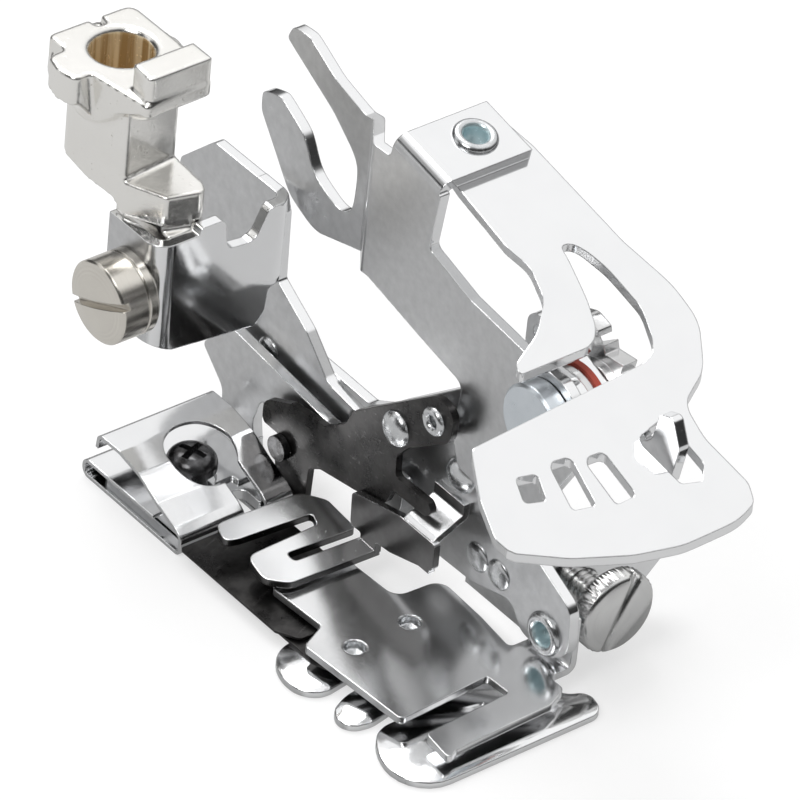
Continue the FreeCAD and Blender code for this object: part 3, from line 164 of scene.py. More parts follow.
bore_x, bore_y, bore_r = -0.0032, 0.0214, 0.0032
cone_foot = 0.0350
nickel = Finish(bpy.data.materials.new("warm_cast_nickel"))
from_bore = nickel.from_axis("Z", (bore_x, bore_y, 0.0))
height = nickel.component(nickel.place, "Z")
brass = ((1 - nickel.step(from_bore, bore_r + 0.00002, bore_r + 0.00012))
         * nickel.step(height, cone_foot, cone_foot + 0.0002))
clouds = nickel.noise(0.006, detail=3.0)
skin = nickel.noise(0.0011, detail=3.0, rough=0.6)
grit = nickel.noise(0.00032, rough=0.6)
pits = nickel.step(nickel.noise(0.00042), 0.66, 0.78)
drawn = nickel.noise(0.00016, rough=0.6, stretch=(1, 1, 14))
# painted reflection: the brass colour is the bore's own, but its dark and bright vertical streaks are painted
# reflection
streak_reflections = nickel.step(nickel.noise(0.0008, rough=0.6, stretch=(1, 1, 40)), 0.36, 0.66)
nickel_colour = nickel.blend(clouds, (0.84, 0.825, 0.79, 1), (0.94, 0.93, 0.905, 1))
nickel_colour = nickel.blend(pits * 0.5, nickel_colour, (0.50, 0.47, 0.43, 1))
brass_colour = nickel.blend(streak_reflections, (0.50, 0.35, 0.17, 1), (0.98, 0.86, 0.62, 1))
shank_nickel = nickel.surface(
    nickel.blend(brass, nickel_colour, brass_colour),
    0.08 + 0.10 * skin + 0.10 * grit + 0.15 * pits + 0.12 * brass * drawn,
    0.000016 * skin + 0.0000055 * grit - 0.00001 * pits + 0.000004 * drawn * brass + 0.00002 * clouds,
    edge=0.0004, metallic=1 - 0.6 * brass)


def merged_copy(name):
    """The faces of a CAD node in a new bmesh, its loose triangles joined at their corners."""
    mesh = bmesh.new()
    mesh.from_mesh(nodes[name].data)
    bmesh.ops.remove_doubles(mesh, verts=mesh.verts, dist=0.000002)
    return mesh


def place(name, mesh, finish, body, slot, *stands_for, crease=40.0):
    """Makes the bmesh a finished piece that rides on a body and stands for CAD nodes."""
    data = bpy.data.meshes.new(name)
    mesh.to_mesh(data)
    mesh.free()
    data.polygons.foreach_set("use_smooth", [True] * len(data.polygons))
    data.set_sharp_from_angle(angle=math.radians(crease))
    data.materials.append(finish)
    piece = bpy.data.objects.new(name, data)
    bpy.context.scene.collection.objects.link(piece)
    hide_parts(*stands_for)
    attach(piece, body)
    return piece


def spin_solid(mesh, profile, direction, at, closed=False):
    """Adds a turned solid: (along, radius) points in metres, spun round the direction through `at`."""
    along = Vector(direction).normalized()
    across = along.orthogonal().normalized()
    start = Vector(at)
    points = [mesh.verts.new(start + along * run + across * radius) for run, radius in profile]
    pairs = list(zip(points, points[1:])) + ([(points[-1], points[0])] if closed else [])
    edges = [mesh.edges.new(pair) for pair in pairs]
    bmesh.ops.spin(mesh, geom=points + edges, cent=start, axis=along, angle=2 * math.pi, steps=48,
                   use_merge=True)


def close_up(mesh):
    """Joins the seams and poles of spun solids and turns their faces outwards."""
    bmesh.ops.remove_doubles(mesh, verts=mesh.verts, dist=0.000001)
    bmesh.ops.recalc_face_normals(mesh, faces=mesh.faces)


def add_box(mesh, low, high):
    """Adds the box between two corners."""
    middle = [(a + b) / 2 for a, b in zip(low, high)]
    bmesh.ops.create_cube(mesh, size=1.0, matrix=Matrix.Translation(middle) @ Matrix.Diagonal(
        [b - a for a, b in zip(low, high)] + [1.0]))


def rough_block(name, mesh):
    """A bmesh as a working object, which leaves the scene again once it is used up."""
    block = bpy.data.objects.new(name, bpy.data.meshes.new(name))
    mesh.to_mesh(block.data)
    mesh.free()
    bpy.context.scene.collection.objects.link(block)
    return block


def carved(mesh, cuts, grain=0.0):
    """The bmesh less the cuts, its skin cast again in grains of `grain` metres where that is above 0."""
    block, cutter = rough_block("block", mesh), rough_block("cutter", cuts)
    cutter.hide_render = True
    opening = block.modifiers.new("opening", "BOOLEAN")
    opening.object, opening.operation, opening.solver = cutter, "DIFFERENCE", "EXACT"
    opening.use_self = True
    if grain:
        skin_over = block.modifiers.new("skin", "REMESH")
        skin_over.mode, skin_over.voxel_size = "VOXEL", grain
    bpy.context.view_layer.update()
    result = bmesh.new()
    result.from_object(block, bpy.context.evaluated_depsgraph_get())
    bpy.data.objects.remove(block)
    bpy.data.objects.remove(cutter)
    return result


upward = (0, 0, 1)
head_top, bore_low, lead_in = 0.0466, 0.0374, 0.0014
bore_at = (bore_x, bore_y, head_top)
solid = merged_copy("shank")
flare = [(-0.0010, 0), (-0.0010, 0.0060), (-0.0030, 0.0071), (-0.0068, 0.0045), (-0.0073, 0.0)]
spin_solid(solid, flare, upward, bore_at)
close_up(solid)

bar_rear, bar_right, rim, foot_left = 0.0150, 0.0006, 0.0308, -0.0048
relief_cuts = bmesh.new()
beside_bar = (bar_right, 0.008, head_top), (0.006, 0.024, head_top + 0.006)
behind_bar = (-0.012, bar_rear, head_top), (0.0061, 0.028, head_top + 0.0061)
beside_foot = (-0.0064, 0.0085, 0.0270), (foot_left, 0.0180, rim + 0.0002)
for low, high in (beside_bar, behind_bar, beside_foot):
    add_box(relief_cuts, low, high)
bore = [(0.0010, 0), (0.0010, bore_r + lead_in), (-0.0004, bore_r), (bore_low - head_top, bore_r),
        (bore_low - head_top, 0)]
spin_solid(relief_cuts, bore, upward, bore_at)
close_up(relief_cuts)
over, under, outside, draft = 0.0002, -0.0070, -0.0100, 0.0009
collar = [relief_cuts.verts.new((bore_x + x, bore_y + y, head_top + z))
          for y, wall_x in ((-0.00215, -0.0055), (-0.0105, -0.0042))
          for x, z in ((wall_x, over), (wall_x + draft, under), (outside, under), (outside, over))]
bmesh.ops.convex_hull(relief_cuts, input=collar)
tumbled = carved(solid, relief_cuts, grain=0.00018)
for stroke in range(2):
    bmesh.ops.smooth_vert(tumbled, verts=tumbled.verts, factor=0.5,
                          use_axis_x=True, use_axis_y=True, use_axis_z=True)
place("tumbled_shank", tumbled, shank_nickel, "frame", "cast_nickel", "shank", crease=180.0)

# ---------------------------------------------------------------------------
# The bracket, the plate behind it, the sole frame, the fork arm, both levers,
# the depth screw's bracket and the upper guide: blanked and folded from mild
# steel sheet, barrel-polished, chromed and riveted. The walls keep mill grain.
# Their faces turned to the left are painted darker, a painted reflection of
# the floor.
# ---------------------------------------------------------------------------


def chromed(name, tone, haze, grain, standing_shade=0.0):
    """Chrome on sheet: tone is its brightness, haze its roughness, grain the mill lines left in the walls, and
    the last value how far its standing faces are painted nearly black as painted shade. Faces turned to the
    left are painted darker as well, a painted reflection of the floor."""
    plate = Finish(bpy.data.materials.new(name))
    wave = plate.noise(0.009, detail=1.0, rough=0.4)
    cloud = plate.noise(0.0035, detail=3.0, rough=0.55)
    dust = plate.noise(0.0006, detail=4.0, rough=0.65)
    lines = plate.noise(0.00012, rough=0.6, stretch=(1, 9, 9))
    # faces turned to the left: they carry the painted reflection of the floor in colour, and mill grain in
    # roughness and relief
    wall = plate.step(plate.facing("X") * -1, 0.75, 0.92)
    scores = plate.noise(0.00020, detail=1.0, stretch=(30, 1, 1), turn=(0.2, 0.5, 0.9))
    scores = plate.step(scores, 0.74, 0.80) * (1 - wall)
    standing = 1 - plate.step(abs(plate.facing("Z")), 0.2, 0.5)
    colour = plate.blend(cloud, (tone * 0.95, tone * 0.955, tone * 0.965, 1),
                         (tone, tone * 1.004, tone * 1.01, 1))
    # painted reflection: faces turned to the left are painted darker, a painted reflection of the floor,
    # streaked by the mill lines
    colour = plate.blend(wall * (0.45 + 0.35 * lines), colour, (tone * 0.46, tone * 0.464, tone * 0.47, 1))
    # painted shade: standing faces are painted nearly black, as far as the last value asks
    colour = plate.blend(standing * standing_shade * (0.8 + 0.2 * cloud), colour, (0.045, 0.042, 0.040, 1))
    return plate.surface(
        colour,
        haze + 0.09 * dust + 0.04 * cloud + 0.10 * scores + wall * (0.16 * grain + 0.10 * grain * lines),
        0.000014 * wave + 0.000002 * dust - 0.0000015 * scores + 0.000005 * grain * wall * lines,
        edge=0.00022)


def ease(mesh, low, high, across, strokes, near):
    """Runs a sheet's outline as curves where `near` says so; its rungs across the sheet are low to high metres
    long."""
    flat, square, stud_gap = math.radians(0.5), 0.995, 0.00055
    bmesh.ops.dissolve_limit(mesh, angle_limit=flat, verts=mesh.verts, edges=mesh.edges)

    def rung(edge):
        run = edge.verts[1].co - edge.verts[0].co
        return low < run.length < high and abs(run.normalized().dot(across)) > square

    def studs(rail, start, count):
        """New corners along a rail, evenly spaced from its corner `start`."""
        made = []
        for left in range(count, 0, -1):
            end = rail.other_vert(start)
            stud = bmesh.utils.edge_split(rail, start, 1 / (left + 1))[1]
            rail = next(edge for edge in stud.link_edges if edge.other_vert(stud) is end)
            made.append(stud)
            start = stud
        return made

    for wall in mesh.faces[:]:
        rails = [edge for edge in wall.edges if not rung(edge)]
        if len(wall.edges) == 4 and len(rails) == 2 and near(wall.calc_center_median()):
            first = rails[0].verts[0]
            facing_it = next(edge.other_vert(first) for edge in wall.edges
                             if rung(edge) and first in edge.verts)
            count = int(rails[0].calc_length() / stud_gap)
            for above, below in zip(studs(rails[0], first, count), studs(rails[1], facing_it, count)):
                between = next(face for face in above.link_faces if below in face.verts)
                bmesh.utils.face_split(between, above, below)
    beside = {}
    for edge in mesh.edges:
        if rung(edge) and near((edge.verts[0].co + edge.verts[1].co) / 2):
            for vert in edge.verts:
                along = [rail for rail in vert.link_edges if rail is not edge
                         and any(sum(map(rung, wall.edges)) == 2 for wall in rail.link_faces)]
                if len(along) == 2:
                    beside[vert] = [rail.other_vert(vert) for rail in along]
    for stroke in range(strokes):
        moved = {vert: (vert.co * 2 + ends[0].co + ends[1].co) / 4 for vert, ends in beside.items()}
        for vert, spot in moved.items():
            vert.co = spot


def place_sheet(name, mesh, finish, body, node):
    """Places a sheet whose wide faces keep flat beside its roundings."""
    piece = place(name, mesh, finish, body, "chrome_sheet", node, crease=30.0)
    piece.modifiers.new("flat_faces", "WEIGHTED_NORMAL").keep_sharp = True


def on_lever_curve(spot):
    """Whether a spot is on the lever's bowed outline, its row of slots left out."""
    bow_rear, slots_left, slots_right, slots_front, slots_rear = -0.0200, -0.0056, 0.0166, -0.0506, -0.0428
    in_slots = slots_left < spot.x < slots_right and slots_front < spot.y < slots_rear
    return spot.y < bow_rear and not in_slots


bright_sheet = chromed("bright_chromed_sheet", tone=0.90, haze=0.035, grain=1.0)
prongs_from = -0.0050
arm = merged_copy("fork_arm")
ease(arm, 0.0011, 0.0013, across=Vector((1, 0, 0)), strokes=8, near=lambda spot: spot.y > prongs_from)
place_sheet("eased_fork_arm", arm, bright_sheet, "arm", "fork_arm")
lever = merged_copy("selector_lever")
ease(lever, 0.00085, 0.0012, across=Vector(upward), strokes=8, near=on_lever_curve)
place_sheet("eased_selector_lever", lever, bright_sheet, "selector", "selector_lever")
dress(bright_sheet, "shank_bracket", "backing_plate", "sole_frame", "drive_lever", "depth_bracket")
dress(chromed("worn_chromed_sheet", tone=0.88, haze=0.10, grain=1.0), "upper_guide")

# ---------------------------------------------------------------------------
# The lower guide: a flat blank that lies on the machine, with three rounded
# fingers at its left that the cloth runs between, and its edges tumbled.
# ---------------------------------------------------------------------------


def blank(outline, low, gauge, soft):
    """Sheet cut to (x, y, reach) corners, reach being how far each corner's rounding runs along its edges, and
    soft how far its rims are broken."""
    mesh = bmesh.new()
    corners = [mesh.verts.new((x, y, low)) for x, y, reach in outline]
    mesh.faces.new(corners)
    for corner, (x, y, reach) in zip(corners, outline):
        bmesh.ops.bevel(mesh, geom=[corner], offset=reach, offset_type="OFFSET", segments=6, profile=0.5,
                        affect="VERTICES", material=-1)
    raised = bmesh.ops.extrude_face_region(mesh, geom=mesh.faces[:])
    top = [item for item in raised["geom"] if isinstance(item, bmesh.types.BMVert)]
    bmesh.ops.translate(mesh, verts=top, vec=(0, 0, gauge))
    bmesh.ops.recalc_face_normals(mesh, faces=mesh.faces)
    rims = [edge for edge in mesh.edges if abs(edge.verts[0].co.z - edge.verts[1].co.z) < gauge / 2]
    bmesh.ops.bevel(mesh, geom=rims, offset=soft, offset_type="OFFSET", segments=2, profile=0.5, affect="EDGES",
                    material=-1)
    return mesh


thin = 0.0008
slot_end = -0.0066
fingered = blank([
    (0.0040, -0.0194, 0.0012), (-0.0108, -0.0190, 0.0020), (-0.0131, -0.0222, 0.0016),
    (-0.0130, -0.0262, 0.0018), (-0.0106, -0.0272, 0.0008), (slot_end, -0.0266, 0.0006),
    (slot_end, -0.0284, 0.0006), (-0.0094, -0.0286, 0.0009), (-0.0124, -0.0300, 0.0013),
    (-0.0125, -0.0328, 0.0015), (-0.0098, -0.0334, 0.0007), (slot_end, -0.0328, 0.0006),
    (slot_end, -0.0344, 0.0006), (-0.0098, -0.0344, 0.0012), (-0.0129, -0.0372, 0.0028),
    (-0.0128, -0.0444, 0.0042), (0.0107, -0.0444, 0.0014), (0.0114, -0.0412, 0.0012),
    (0.0090, -0.0402, 0.0010), (0.0062, -0.0300, 0.0020)], low=0.0, gauge=thin, soft=0.00012)
place("fingered_lower_guide", fingered, bright_sheet, "frame", "chrome_sheet", "lower_guide", crease=60.0)

# ---------------------------------------------------------------------------
# The adjusting finger: its serpentine end is sprung up a little at the rear,
# and its sheet is satin from tumbling rather than bright. Its standing faces
# are painted nearly black as painted shade.
# ---------------------------------------------------------------------------

# painted shade: this sheet's standing faces are painted nearly black
satin_sheet = chromed("satin_spring_sheet", tone=0.94, haze=0.14, grain=0.5, standing_shade=0.92)
serpent_top, curved_right = 0.0041, 0.0050
spring_root, spring_slope, spring_right = -0.0150, 0.07, 0.00535
sprung = merged_copy("adjusting_finger")
ease(sprung, 0.00075, 0.00085, across=Vector(upward), strokes=3,
     near=lambda spot: spot.z < serpent_top and spot.x < curved_right)
free_end = [vert for vert in sprung.verts
            if vert.co.z < serpent_top and vert.co.y > spring_root and vert.co.x < spring_right]
lift = Matrix.Identity(4)
lift[2][1], lift[2][3] = spring_slope, -spring_slope * spring_root
bmesh.ops.transform(sprung, matrix=lift, verts=free_end)
place_sheet("sprung_adjusting_finger", sprung, satin_sheet, "frame", "adjusting_finger")

# ---------------------------------------------------------------------------
# The sole clip: a thin spring-steel cap hooked over the front of the sole
# frame, bright nickelled, with the keyhole that the needle passes through.
# ---------------------------------------------------------------------------

dress(chromed("bright_spring_sheet", tone=0.86, haze=0.05, grain=0.8), "sole_clip")

# ---------------------------------------------------------------------------
# The pieces cut from bar: the clamp screw, the knurled depth screw, the hub's
# drum, the ratchet wheel and its pawl, nickelled, with the fine rings of the
# lathe tool round their axes. Both screws hold by their threads.
# ---------------------------------------------------------------------------


def turned(name, low, high, axis, centre, ring, haze, edge=0.0002):
    """Nickelled bar stock: rings about the given axis and centre, `ring` metres apart."""
    bar = Finish(bpy.data.materials.new(name))
    end = abs(bar.facing(axis))
    travel = bar.from_axis(axis, centre) * end + bar.component(bar.place, axis) * (1 - end)
    rings = bar.node("TexNoise", {"noise_dimensions": "1D"}, {"W": travel, "Scale": 1.0 / ring, "Detail": 3.0})
    cloud = bar.noise(0.0022, detail=3.0)
    dust = bar.noise(0.0004, detail=3.0, rough=0.6)
    return bar.surface(
        bar.blend(0.6 * rings + 0.4 * cloud, low, high),
        haze + 0.10 * rings + 0.05 * dust,
        0.0000035 * rings + 0.000001 * dust + 0.00001 * cloud,
        edge)


dress(turned("turned_clamp_screw", (0.62, 0.59, 0.54, 1), (0.80, 0.77, 0.71, 1), axis="X",
             centre=(0, 0.0119, 0.0242), ring=0.00022, haze=0.15), "clamp_screw")
dress(turned("turned_hub", (0.62, 0.62, 0.62, 1), (0.82, 0.82, 0.82, 1), axis="X",
             centre=(0, -0.0344, 0.0319), ring=0.0002, haze=0.14), "hub_drum", "ratchet_wheel", "pawl")

depth_x, depth_z = 0.0166, 0.0066
depth_axis = (depth_x, 0, depth_z)
depth_shoulder, depth_end = -0.0352, -0.0269
head_rear, thread_start = depth_shoulder - 0.0002, depth_shoulder - 0.0001
core, crest, pitch = 0.00145, 0.00178, 0.0006
lathe_steps, slot_turn = 32, -1.2
depth_finish = turned("turned_depth_screw", (0.60, 0.60, 0.60, 1), (0.80, 0.80, 0.79, 1), axis="Y",
                      centre=depth_axis, ring=0.00018, haze=0.14, edge=0.00005)
screw = merged_copy("depth_screw")
bmesh.ops.rotate(screw, verts=screw.verts, cent=depth_axis, matrix=Matrix.Rotation(slot_turn, 3, "Y"))
bmesh.ops.bisect_plane(screw, geom=screw.verts[:] + screw.edges[:] + screw.faces[:], dist=1e-7,
                       plane_co=(0, head_rear, 0), plane_no=(0, 1, 0), clear_outer=True)
bmesh.ops.holes_fill(screw, edges=[edge for edge in screw.edges if edge.is_boundary], sides=0)
length = depth_end - depth_shoulder
core_place = Matrix.Translation((depth_x, depth_shoulder + length / 2, depth_z))
bmesh.ops.create_cone(screw, cap_ends=True, segments=lathe_steps, radius1=core, radius2=core, depth=length,
                      matrix=core_place @ Matrix.Rotation(math.pi / 2, 4, "X"))
turns = int(length / pitch) - 1
thread_foot = core - 0.00005
flank = [screw.verts.new((depth_x + radius, thread_start + share * pitch, depth_z))
         for radius, share in ((thread_foot, 0.0), (crest, 0.42), (crest, 0.58), (thread_foot, 1.0))]
edges = [screw.edges.new(pair) for pair in zip(flank, flank[1:])]
bmesh.ops.spin(screw, geom=flank + edges, cent=depth_axis, axis=(0, 1, 0), angle=2 * math.pi * turns,
               dvec=(0, pitch / lathe_steps, 0), steps=lathe_steps * turns)
bmesh.ops.recalc_face_normals(screw, faces=screw.faces)
place("knurled_depth_screw", screw, depth_finish, "depth", "turned_nickel", "depth_screw", crease=35.0)

# ---------------------------------------------------------------------------
# The hub pin: turned steel under blue-grey zinc, its wide flat head on the
# left of the arm.
# ---------------------------------------------------------------------------

zinc = Finish(bpy.data.materials.new("zinc_hub_pin"))
bloom = zinc.noise(0.0016, detail=3.0)
matt = zinc.noise(0.00022, detail=3.0, rough=0.6)
dress(zinc.surface(
    zinc.blend(bloom, (0.62, 0.67, 0.71, 1), (0.78, 0.82, 0.86, 1)),
    0.20 + 0.12 * bloom + 0.08 * matt,
    0.000008 * bloom + 0.0000012 * matt,
    edge=0.0002), "hub_pin")

# ---------------------------------------------------------------------------
# The red washer of vulcanised fibre between the hub's drum and the drive
# lever: matt, with the paper's fine fibres showing.
# ---------------------------------------------------------------------------

fibre = Finish(bpy.data.materials.new("red_vulcan_fibre"))
strands = fibre.noise(0.00018, detail=4.0, rough=0.7, stretch=(1, 6, 2))
stain = fibre.noise(0.0025, detail=3.0)
dress(fibre.surface(
    fibre.blend(0.5 * strands + 0.5 * stain, (0.30, 0.035, 0.02, 1), (0.62, 0.09, 0.05, 1)),
    0.42 + 0.2 * strands,
    0.00001 * strands,
    edge=0.00015, metallic=0.0), "hub_washer")

# ---------------------------------------------------------------------------
# The blued pieces: both blades, the hung carrier and the clip's screw, of
# spring steel blacked in the furnace, with the rub marks of use. The guide pin
# is steel given the same dark finish as painted shade.
# ---------------------------------------------------------------------------


def blued(name, high, haze):
    """Blacked steel: high is its palest oxide, haze its roughness."""
    steel = Finish(bpy.data.materials.new(name))
    oxide = steel.step(steel.noise(0.0034, detail=4.0, rough=0.6), 0.34, 0.66)
    speck = steel.noise(0.00022, detail=3.0, rough=0.65)
    rubs = steel.step(steel.noise(0.0003, stretch=(12, 2, 1), turn=(0, 0, 0.35)), 0.60, 0.78)
    colour = steel.blend(oxide, (0.022, 0.021, 0.021, 1), high)
    return steel.surface(
        steel.blend(rubs * 0.25, colour, (0.24, 0.235, 0.23, 1)),
        haze + 0.14 * speck + 0.10 * oxide - 0.06 * rubs,
        0.000003 * speck + 0.000012 * oxide,
        edge=0.00012, metallic=0.85)


dress(blued("blued_spring_steel", (0.060, 0.058, 0.057, 1), haze=0.20),
      "separator_blade", "ruffling_blade", "blade_carrier")
# painted shade: the guide pin's steel is painted dark for the shade it sits in
dress(blued("guide_pin_painted_shade", (0.20, 0.20, 0.205, 1), haze=0.20), "guide_pin")

# ---------------------------------------------------------------------------
# The clip's screw: a blued pan head with a cross recess, standing in the
# keyhole on its collar, with its thread in the sole plate.
# ---------------------------------------------------------------------------

screw_x, screw_y = -0.0022, 0.0065
thread_low, thread_r, collar_low, collar_r = 0.0002, 0.0012, 0.0018, 0.0018
pan_foot, pan_wall, pan_top, pan_r = 0.0034, 0.0006, 0.0055, 0.0027
crown = [(pan_foot + pan_wall + (pan_top - pan_foot - pan_wall) * math.sin(turn), pan_r * math.cos(turn) ** 0.6)
         for turn in (i * math.pi / 2 / 8 for i in range(9))]
pan = bmesh.new()
spin_solid(pan, [(thread_low, 0), (thread_low, thread_r), (collar_low, thread_r), (collar_low, collar_r),
                 (pan_foot, collar_r), (pan_foot, pan_r)] + crown, upward, (screw_x, screw_y, 0.0))
close_up(pan)
cross_long, cross_wide, cross_deep, cross_turn = 0.0031, 0.0007, 0.0026, 0.35
cross_at = Matrix.Translation((screw_x, screw_y, pan_top)) @ Matrix.Rotation(cross_turn, 4, "Z")
cross = bmesh.new()
for right, rear in ((cross_long, cross_wide), (cross_wide, cross_long)):
    bmesh.ops.create_cube(cross, size=1.0,
                          matrix=cross_at @ Matrix.Diagonal((right, rear, cross_deep - right * 0.1, 1.0)))
place("recessed_clip_screw", carved(pan, cross), blued("blued_screw", (0.16, 0.16, 0.165, 1), haze=0.10),
      "frame", "blued_steel", "clip_screw", crease=35.0)

# ---------------------------------------------------------------------------
# The solid rivets and pins: steel, headed over when the sheets were joined, so
# their domes are a little hammered and duller than the sheet round them.
# ---------------------------------------------------------------------------


def riveted(name):
    """Headed steel with low hammer marks and a fine grit: its finish, colour, roughness and relief."""
    steel = Finish(bpy.data.materials.new(name))
    hammer = steel.noise(0.0007)
    grit = steel.noise(0.00018, detail=3.0, rough=0.6)
    colour = steel.blend(hammer, (0.50, 0.51, 0.52, 1), (0.78, 0.79, 0.80, 1))
    return steel, colour, 0.15 + 0.10 * hammer + 0.10 * grit, 0.00003 * hammer + 0.000002 * grit


def dome(head, high):
    """Profile of a hammered dome, from its crown to its rim."""
    return [(-high * math.cos(turn), head * math.sin(turn)) for turn in (i * math.pi / 16 for i in range(9))]


def rolled(bore, head, high):
    """Profile of a tubular rivet's rolled rim, from its bore out to its edge; high is negative below."""
    middle, half = (bore + head) / 2, (head - bore) / 2
    return [(-high * math.sin(turn), middle - half * math.cos(turn))
            for turn in (i * math.pi / 10 for i in range(11))]


def body_and_foot(grip, reach, high):
    """Profile of a rivet's body through `grip` metres of sheet and of the low bevelled head that closes it."""
    return [(0, body_r), (grip, body_r), (grip, reach), (grip + high, reach - high), (grip + high, 0)]


sheet, body_r, head_r, dome_high = 0.0012, 0.0012, 0.0020, 0.0010
foot_r, foot_high = head_r - 0.0003, 0.0005
to_right = (1, 0, 0)
web_x, side_x, carrier_x = 0.0072, 0.0092, 0.0056
rivet, rivet_colour, rivet_haze, rivet_relief = riveted("headed_rivet_steel")
headed = rivet.surface(rivet_colour, rivet_haze, rivet_relief, edge=0.0002)
dress(headed, "pawl_pin")

rivets = bmesh.new()
stack = 2 * sheet + side_x - web_x
stack_top = stack + 0.0006
long_rivet = [(0, 0), (0, body_r), (stack, body_r), (stack, head_r - 0.0002), (stack + 0.0004, head_r - 0.0004),
              (stack_top, head_r - 0.0009), (stack_top, 0)]
web_rivets = (web_x, -0.0060, 0.0096), (web_x, -0.0120, 0.0096)
rear_rivet, front_rivet = (side_x, 0.0094, 0.0115), (side_x, -0.0215, 0.0159)
for at in web_rivets:
    spin_solid(rivets, long_rivet, to_right, at)
spin_solid(rivets, dome(foot_r, 0.0005) + body_and_foot(2 * sheet, foot_r, foot_high), to_right, rear_rivet)
spin_solid(rivets, dome(head_r, dome_high) + body_and_foot(sheet, foot_r, foot_high), to_right, front_rivet)
close_up(rivets)
place("headed_frame_rivets", rivets, headed, "frame", "rivet_steel", "frame_rivets")

rivets = bmesh.new()
low_rivet, high_rivet = (carrier_x, -0.0153, 0.0191), (carrier_x, -0.0208, 0.0236)
peened, small_rim = thin + 0.0003, thin + 0.0004
small_bore, small_r, small_head = 0.0006, 0.0011, 0.0016
spin_solid(rivets, dome(head_r, dome_high) + [(0, body_r), (thin, body_r), (peened, body_r * 0.8), (peened, 0)],
           to_right, low_rivet)
spin_solid(rivets, rolled(small_bore, small_head, 0.0006) + [
    (0, small_r), (thin, small_r), (thin, 0.0015), (small_rim, 0.0014), (small_rim, small_bore)],
           to_right, high_rivet, closed=True)
close_up(rivets)
place("carrier_dome_and_tube", rivets, headed, "carrier", "rivet_steel", "carrier_rivets")

rivets = bmesh.new()
for y in (-0.0252, -0.0286):
    spin_solid(rivets, dome(head_r - 0.0003, 0.0004) + body_and_foot(2 * sheet, head_r - 0.0004, 0.0004),
               to_right, (side_x, y, 0.0080))
close_up(rivets)
place("headed_depth_rivets", rivets, headed, "frame", "rivet_steel", "depth_rivets")

rivets = bmesh.new()
dish_top, dish_floor = 0.0028, 0.0018
dished = [(0, 0), (0, body_r), (dish_top - 0.00005, body_r), (dish_top, body_r - 0.00008),
          (dish_floor + 0.0001, body_r - 0.0002), (dish_floor, body_r - 0.0004), (dish_floor, 0)]
for at in ((-0.0057, -0.0251, 0), (0.0014, -0.0249, 0)):
    spin_solid(rivets, dished, upward, at)
close_up(rivets)
place("dished_guide_rivets", rivets, headed, "frame", "rivet_steel", "guide_rivets")

# ---------------------------------------------------------------------------
# The two tubular rivets, at the guide's ear and at the selector's pivot: rolled
# over at both ends, their bores green-blue from the zinc's passivation.
# ---------------------------------------------------------------------------

tube_bore, tube_r, tube_head, tube_high = 0.0012, 0.00175, 0.0024, 0.0006


def tubular(name, at, direction):
    """Headed steel whose bore, round the given axis, is passivated green-blue."""
    steel, colour, haze, relief = riveted(name)
    away = steel.vector("SUBTRACT", steel.place, at)
    out = steel.vector("LENGTH", steel.vector("CROSS_PRODUCT", away, direction))
    inside = 1 - steel.step(out, tube_bore + 0.0001, tube_bore + 0.0004)
    return steel.surface(steel.blend(inside * 0.7, colour, (0.58, 0.78, 0.82, 1)), haze, relief, edge=0.0002,
                         metallic=1 - 0.5 * inside)


ear_at = (side_x, -0.0362, 0.0057)
eye = bmesh.new()
grip = sheet + thin
far_rim = grip + 0.00015
spin_solid(eye, rolled(tube_bore, tube_head, tube_high) + [
    (0, tube_r), (grip, tube_r), (grip, tube_head - 0.0003), (far_rim, tube_head - 0.0004),
    (far_rim, tube_bore)], to_right, ear_at, closed=True)
close_up(eye)
place("rolled_ear_rivet", eye, tubular("passivated_ear_rivet", ear_at, to_right), "frame", "rivet_steel",
      "ear_rivet")

pivot_at, pivot_up = (0.015, -0.011837, 0.048932), (0, -0.185667, 0.982613)
lever_sheet = 0.0009
eye = bmesh.new()
under_lever = -sheet - lever_sheet - 0.0001
lower_rim = [(under_lever + run, radius) for run, radius in rolled(tube_bore, tube_head, 0.00065)]
upper_rim = rolled(tube_bore, tube_head, -tube_high)[::-1]
spin_solid(eye, lower_rim + [(under_lever, tube_r), (0, tube_r)] + upper_rim, pivot_up, pivot_at, closed=True)
close_up(eye)
place("rolled_selector_rivet", eye, tubular("passivated_selector_rivet", pivot_at, pivot_up), "arm",
      "rivet_steel", "selector_rivet")

# ---------------------------------------------------------------------------
# The studio: a pale matt floor under soft light from a bright tent, darker
# towards its foot, with two pale cards at the left rear and two soft lamps.
# ---------------------------------------------------------------------------

ground = bmesh.new()
floor_gap = 0.00003
bmesh.ops.create_circle(ground, cap_ends=True, radius=4.0, segments=96)
bmesh.ops.translate(ground, verts=ground.verts, vec=(0, 0, -floor_gap))
floor_mesh = bpy.data.meshes.new("floor")
ground.to_mesh(floor_mesh)
ground.free()
floor = bpy.data.objects.new("floor", floor_mesh)
bpy.context.scene.collection.objects.link(floor)
pale = Finish(bpy.data.materials.new("pale_floor"))
rays = pale.node("LightPath", {}, {})
seen = rays.part("Is Camera Ray")
mirrored = pale.node("Math", {"operation": "MAXIMUM"},
                     {0: rays.part("Is Glossy Ray"), 1: rays.part("Is Transmission Ray")})
paper = pale.node("BsdfDiffuse", {}, {"Color": (0.42, 0.42, 0.42, 1)})
glow = pale.node("Emission", {}, {"Color": (1, 1, 1, 1), "Strength": 0.60 * seen + 0.19 * mirrored})
pale.node("OutputMaterial", {}, {"Surface": pale.node("AddShader", {}, {0: paper, 1: glow})})
floor_mesh.materials.append(pale.owner)

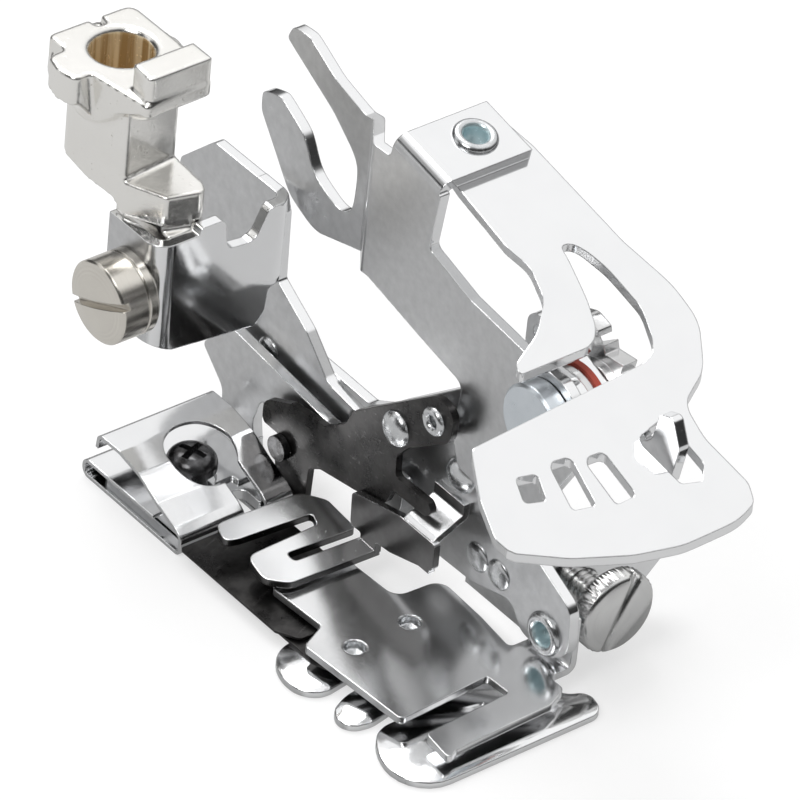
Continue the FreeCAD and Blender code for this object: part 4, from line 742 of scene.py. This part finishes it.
tent = Finish(bpy.context.scene.world or bpy.data.worlds.new("tent"))
bpy.context.scene.world = tent.owner
looking = tent.coordinates.part("Generated")
to_window = tent.vector("DOT_PRODUCT", looking, (0.375, 0.225, 0.0))
wall_light = tent.node(
    "ValToRGB", {"stops": [(0.0, 0.03), (0.45, 0.05), (0.60, 0.18), (0.76, 0.80), (0.84, 1.0), (1.0, 1.02)]},
    {0: tent.component(looking, "Z") + to_window})
card_rim, card_inside = 0.955, 0.985
low_card, high_card = (tent.step(tent.vector("DOT_PRODUCT", looking, toward), card_rim, card_inside)
                       for toward in ((-0.80, 0.58, 0.15), (-0.53, 0.60, 0.60)))
lit = tent.blend(low_card + high_card, wall_light, (0.95, 0.95, 0.95, 1))
tent.node("OutputWorld", {}, {"Surface": tent.node("Background", {}, {"Color": lit, "Strength": 1.0})})

part_middle = Vector((0, -0.01, 0.02))
for name, at, wide, watts in (("lamp_left", (-0.55, -0.15, 0.70), 0.45, 2.6),
                              ("lamp_back", (0.15, 0.45, 0.80), 0.50, 3.2)):
    light = bpy.data.lights.new(name, "AREA")
    light.shape, light.size, light.energy = "DISK", wide, watts
    lamp = bpy.data.objects.new(name, light)
    lamp.location = at
    lamp.rotation_euler = (part_middle - Vector(at)).to_track_quat("-Z", "Y").to_euler()
    bpy.context.scene.collection.objects.link(lamp)

# ---------------------------------------------------------------------------
# The camera: a long lens from the front left, above, rolled a few degrees.
# ---------------------------------------------------------------------------

lens = bpy.data.cameras.new("camera")
lens.lens, lens.sensor_width = 360.0, 36.0
lens.clip_start, lens.clip_end = 0.05, 60.0
camera = bpy.data.objects.new("camera", lens)
camera.matrix_world = Matrix(((0.7824731, 0.31959713, -0.5344095, -0.41713322),
                              (-0.61720609, 0.51166979, -0.5977045, -0.48813251),
                              (0.08241655, 0.79752849, 0.59762515, 0.49542144),
                              (0, 0, 0, 1)))
bpy.context.scene.collection.objects.link(camera)
bpy.context.scene.camera = camera
bpy.context.scene.view_settings.view_transform = "Standard"
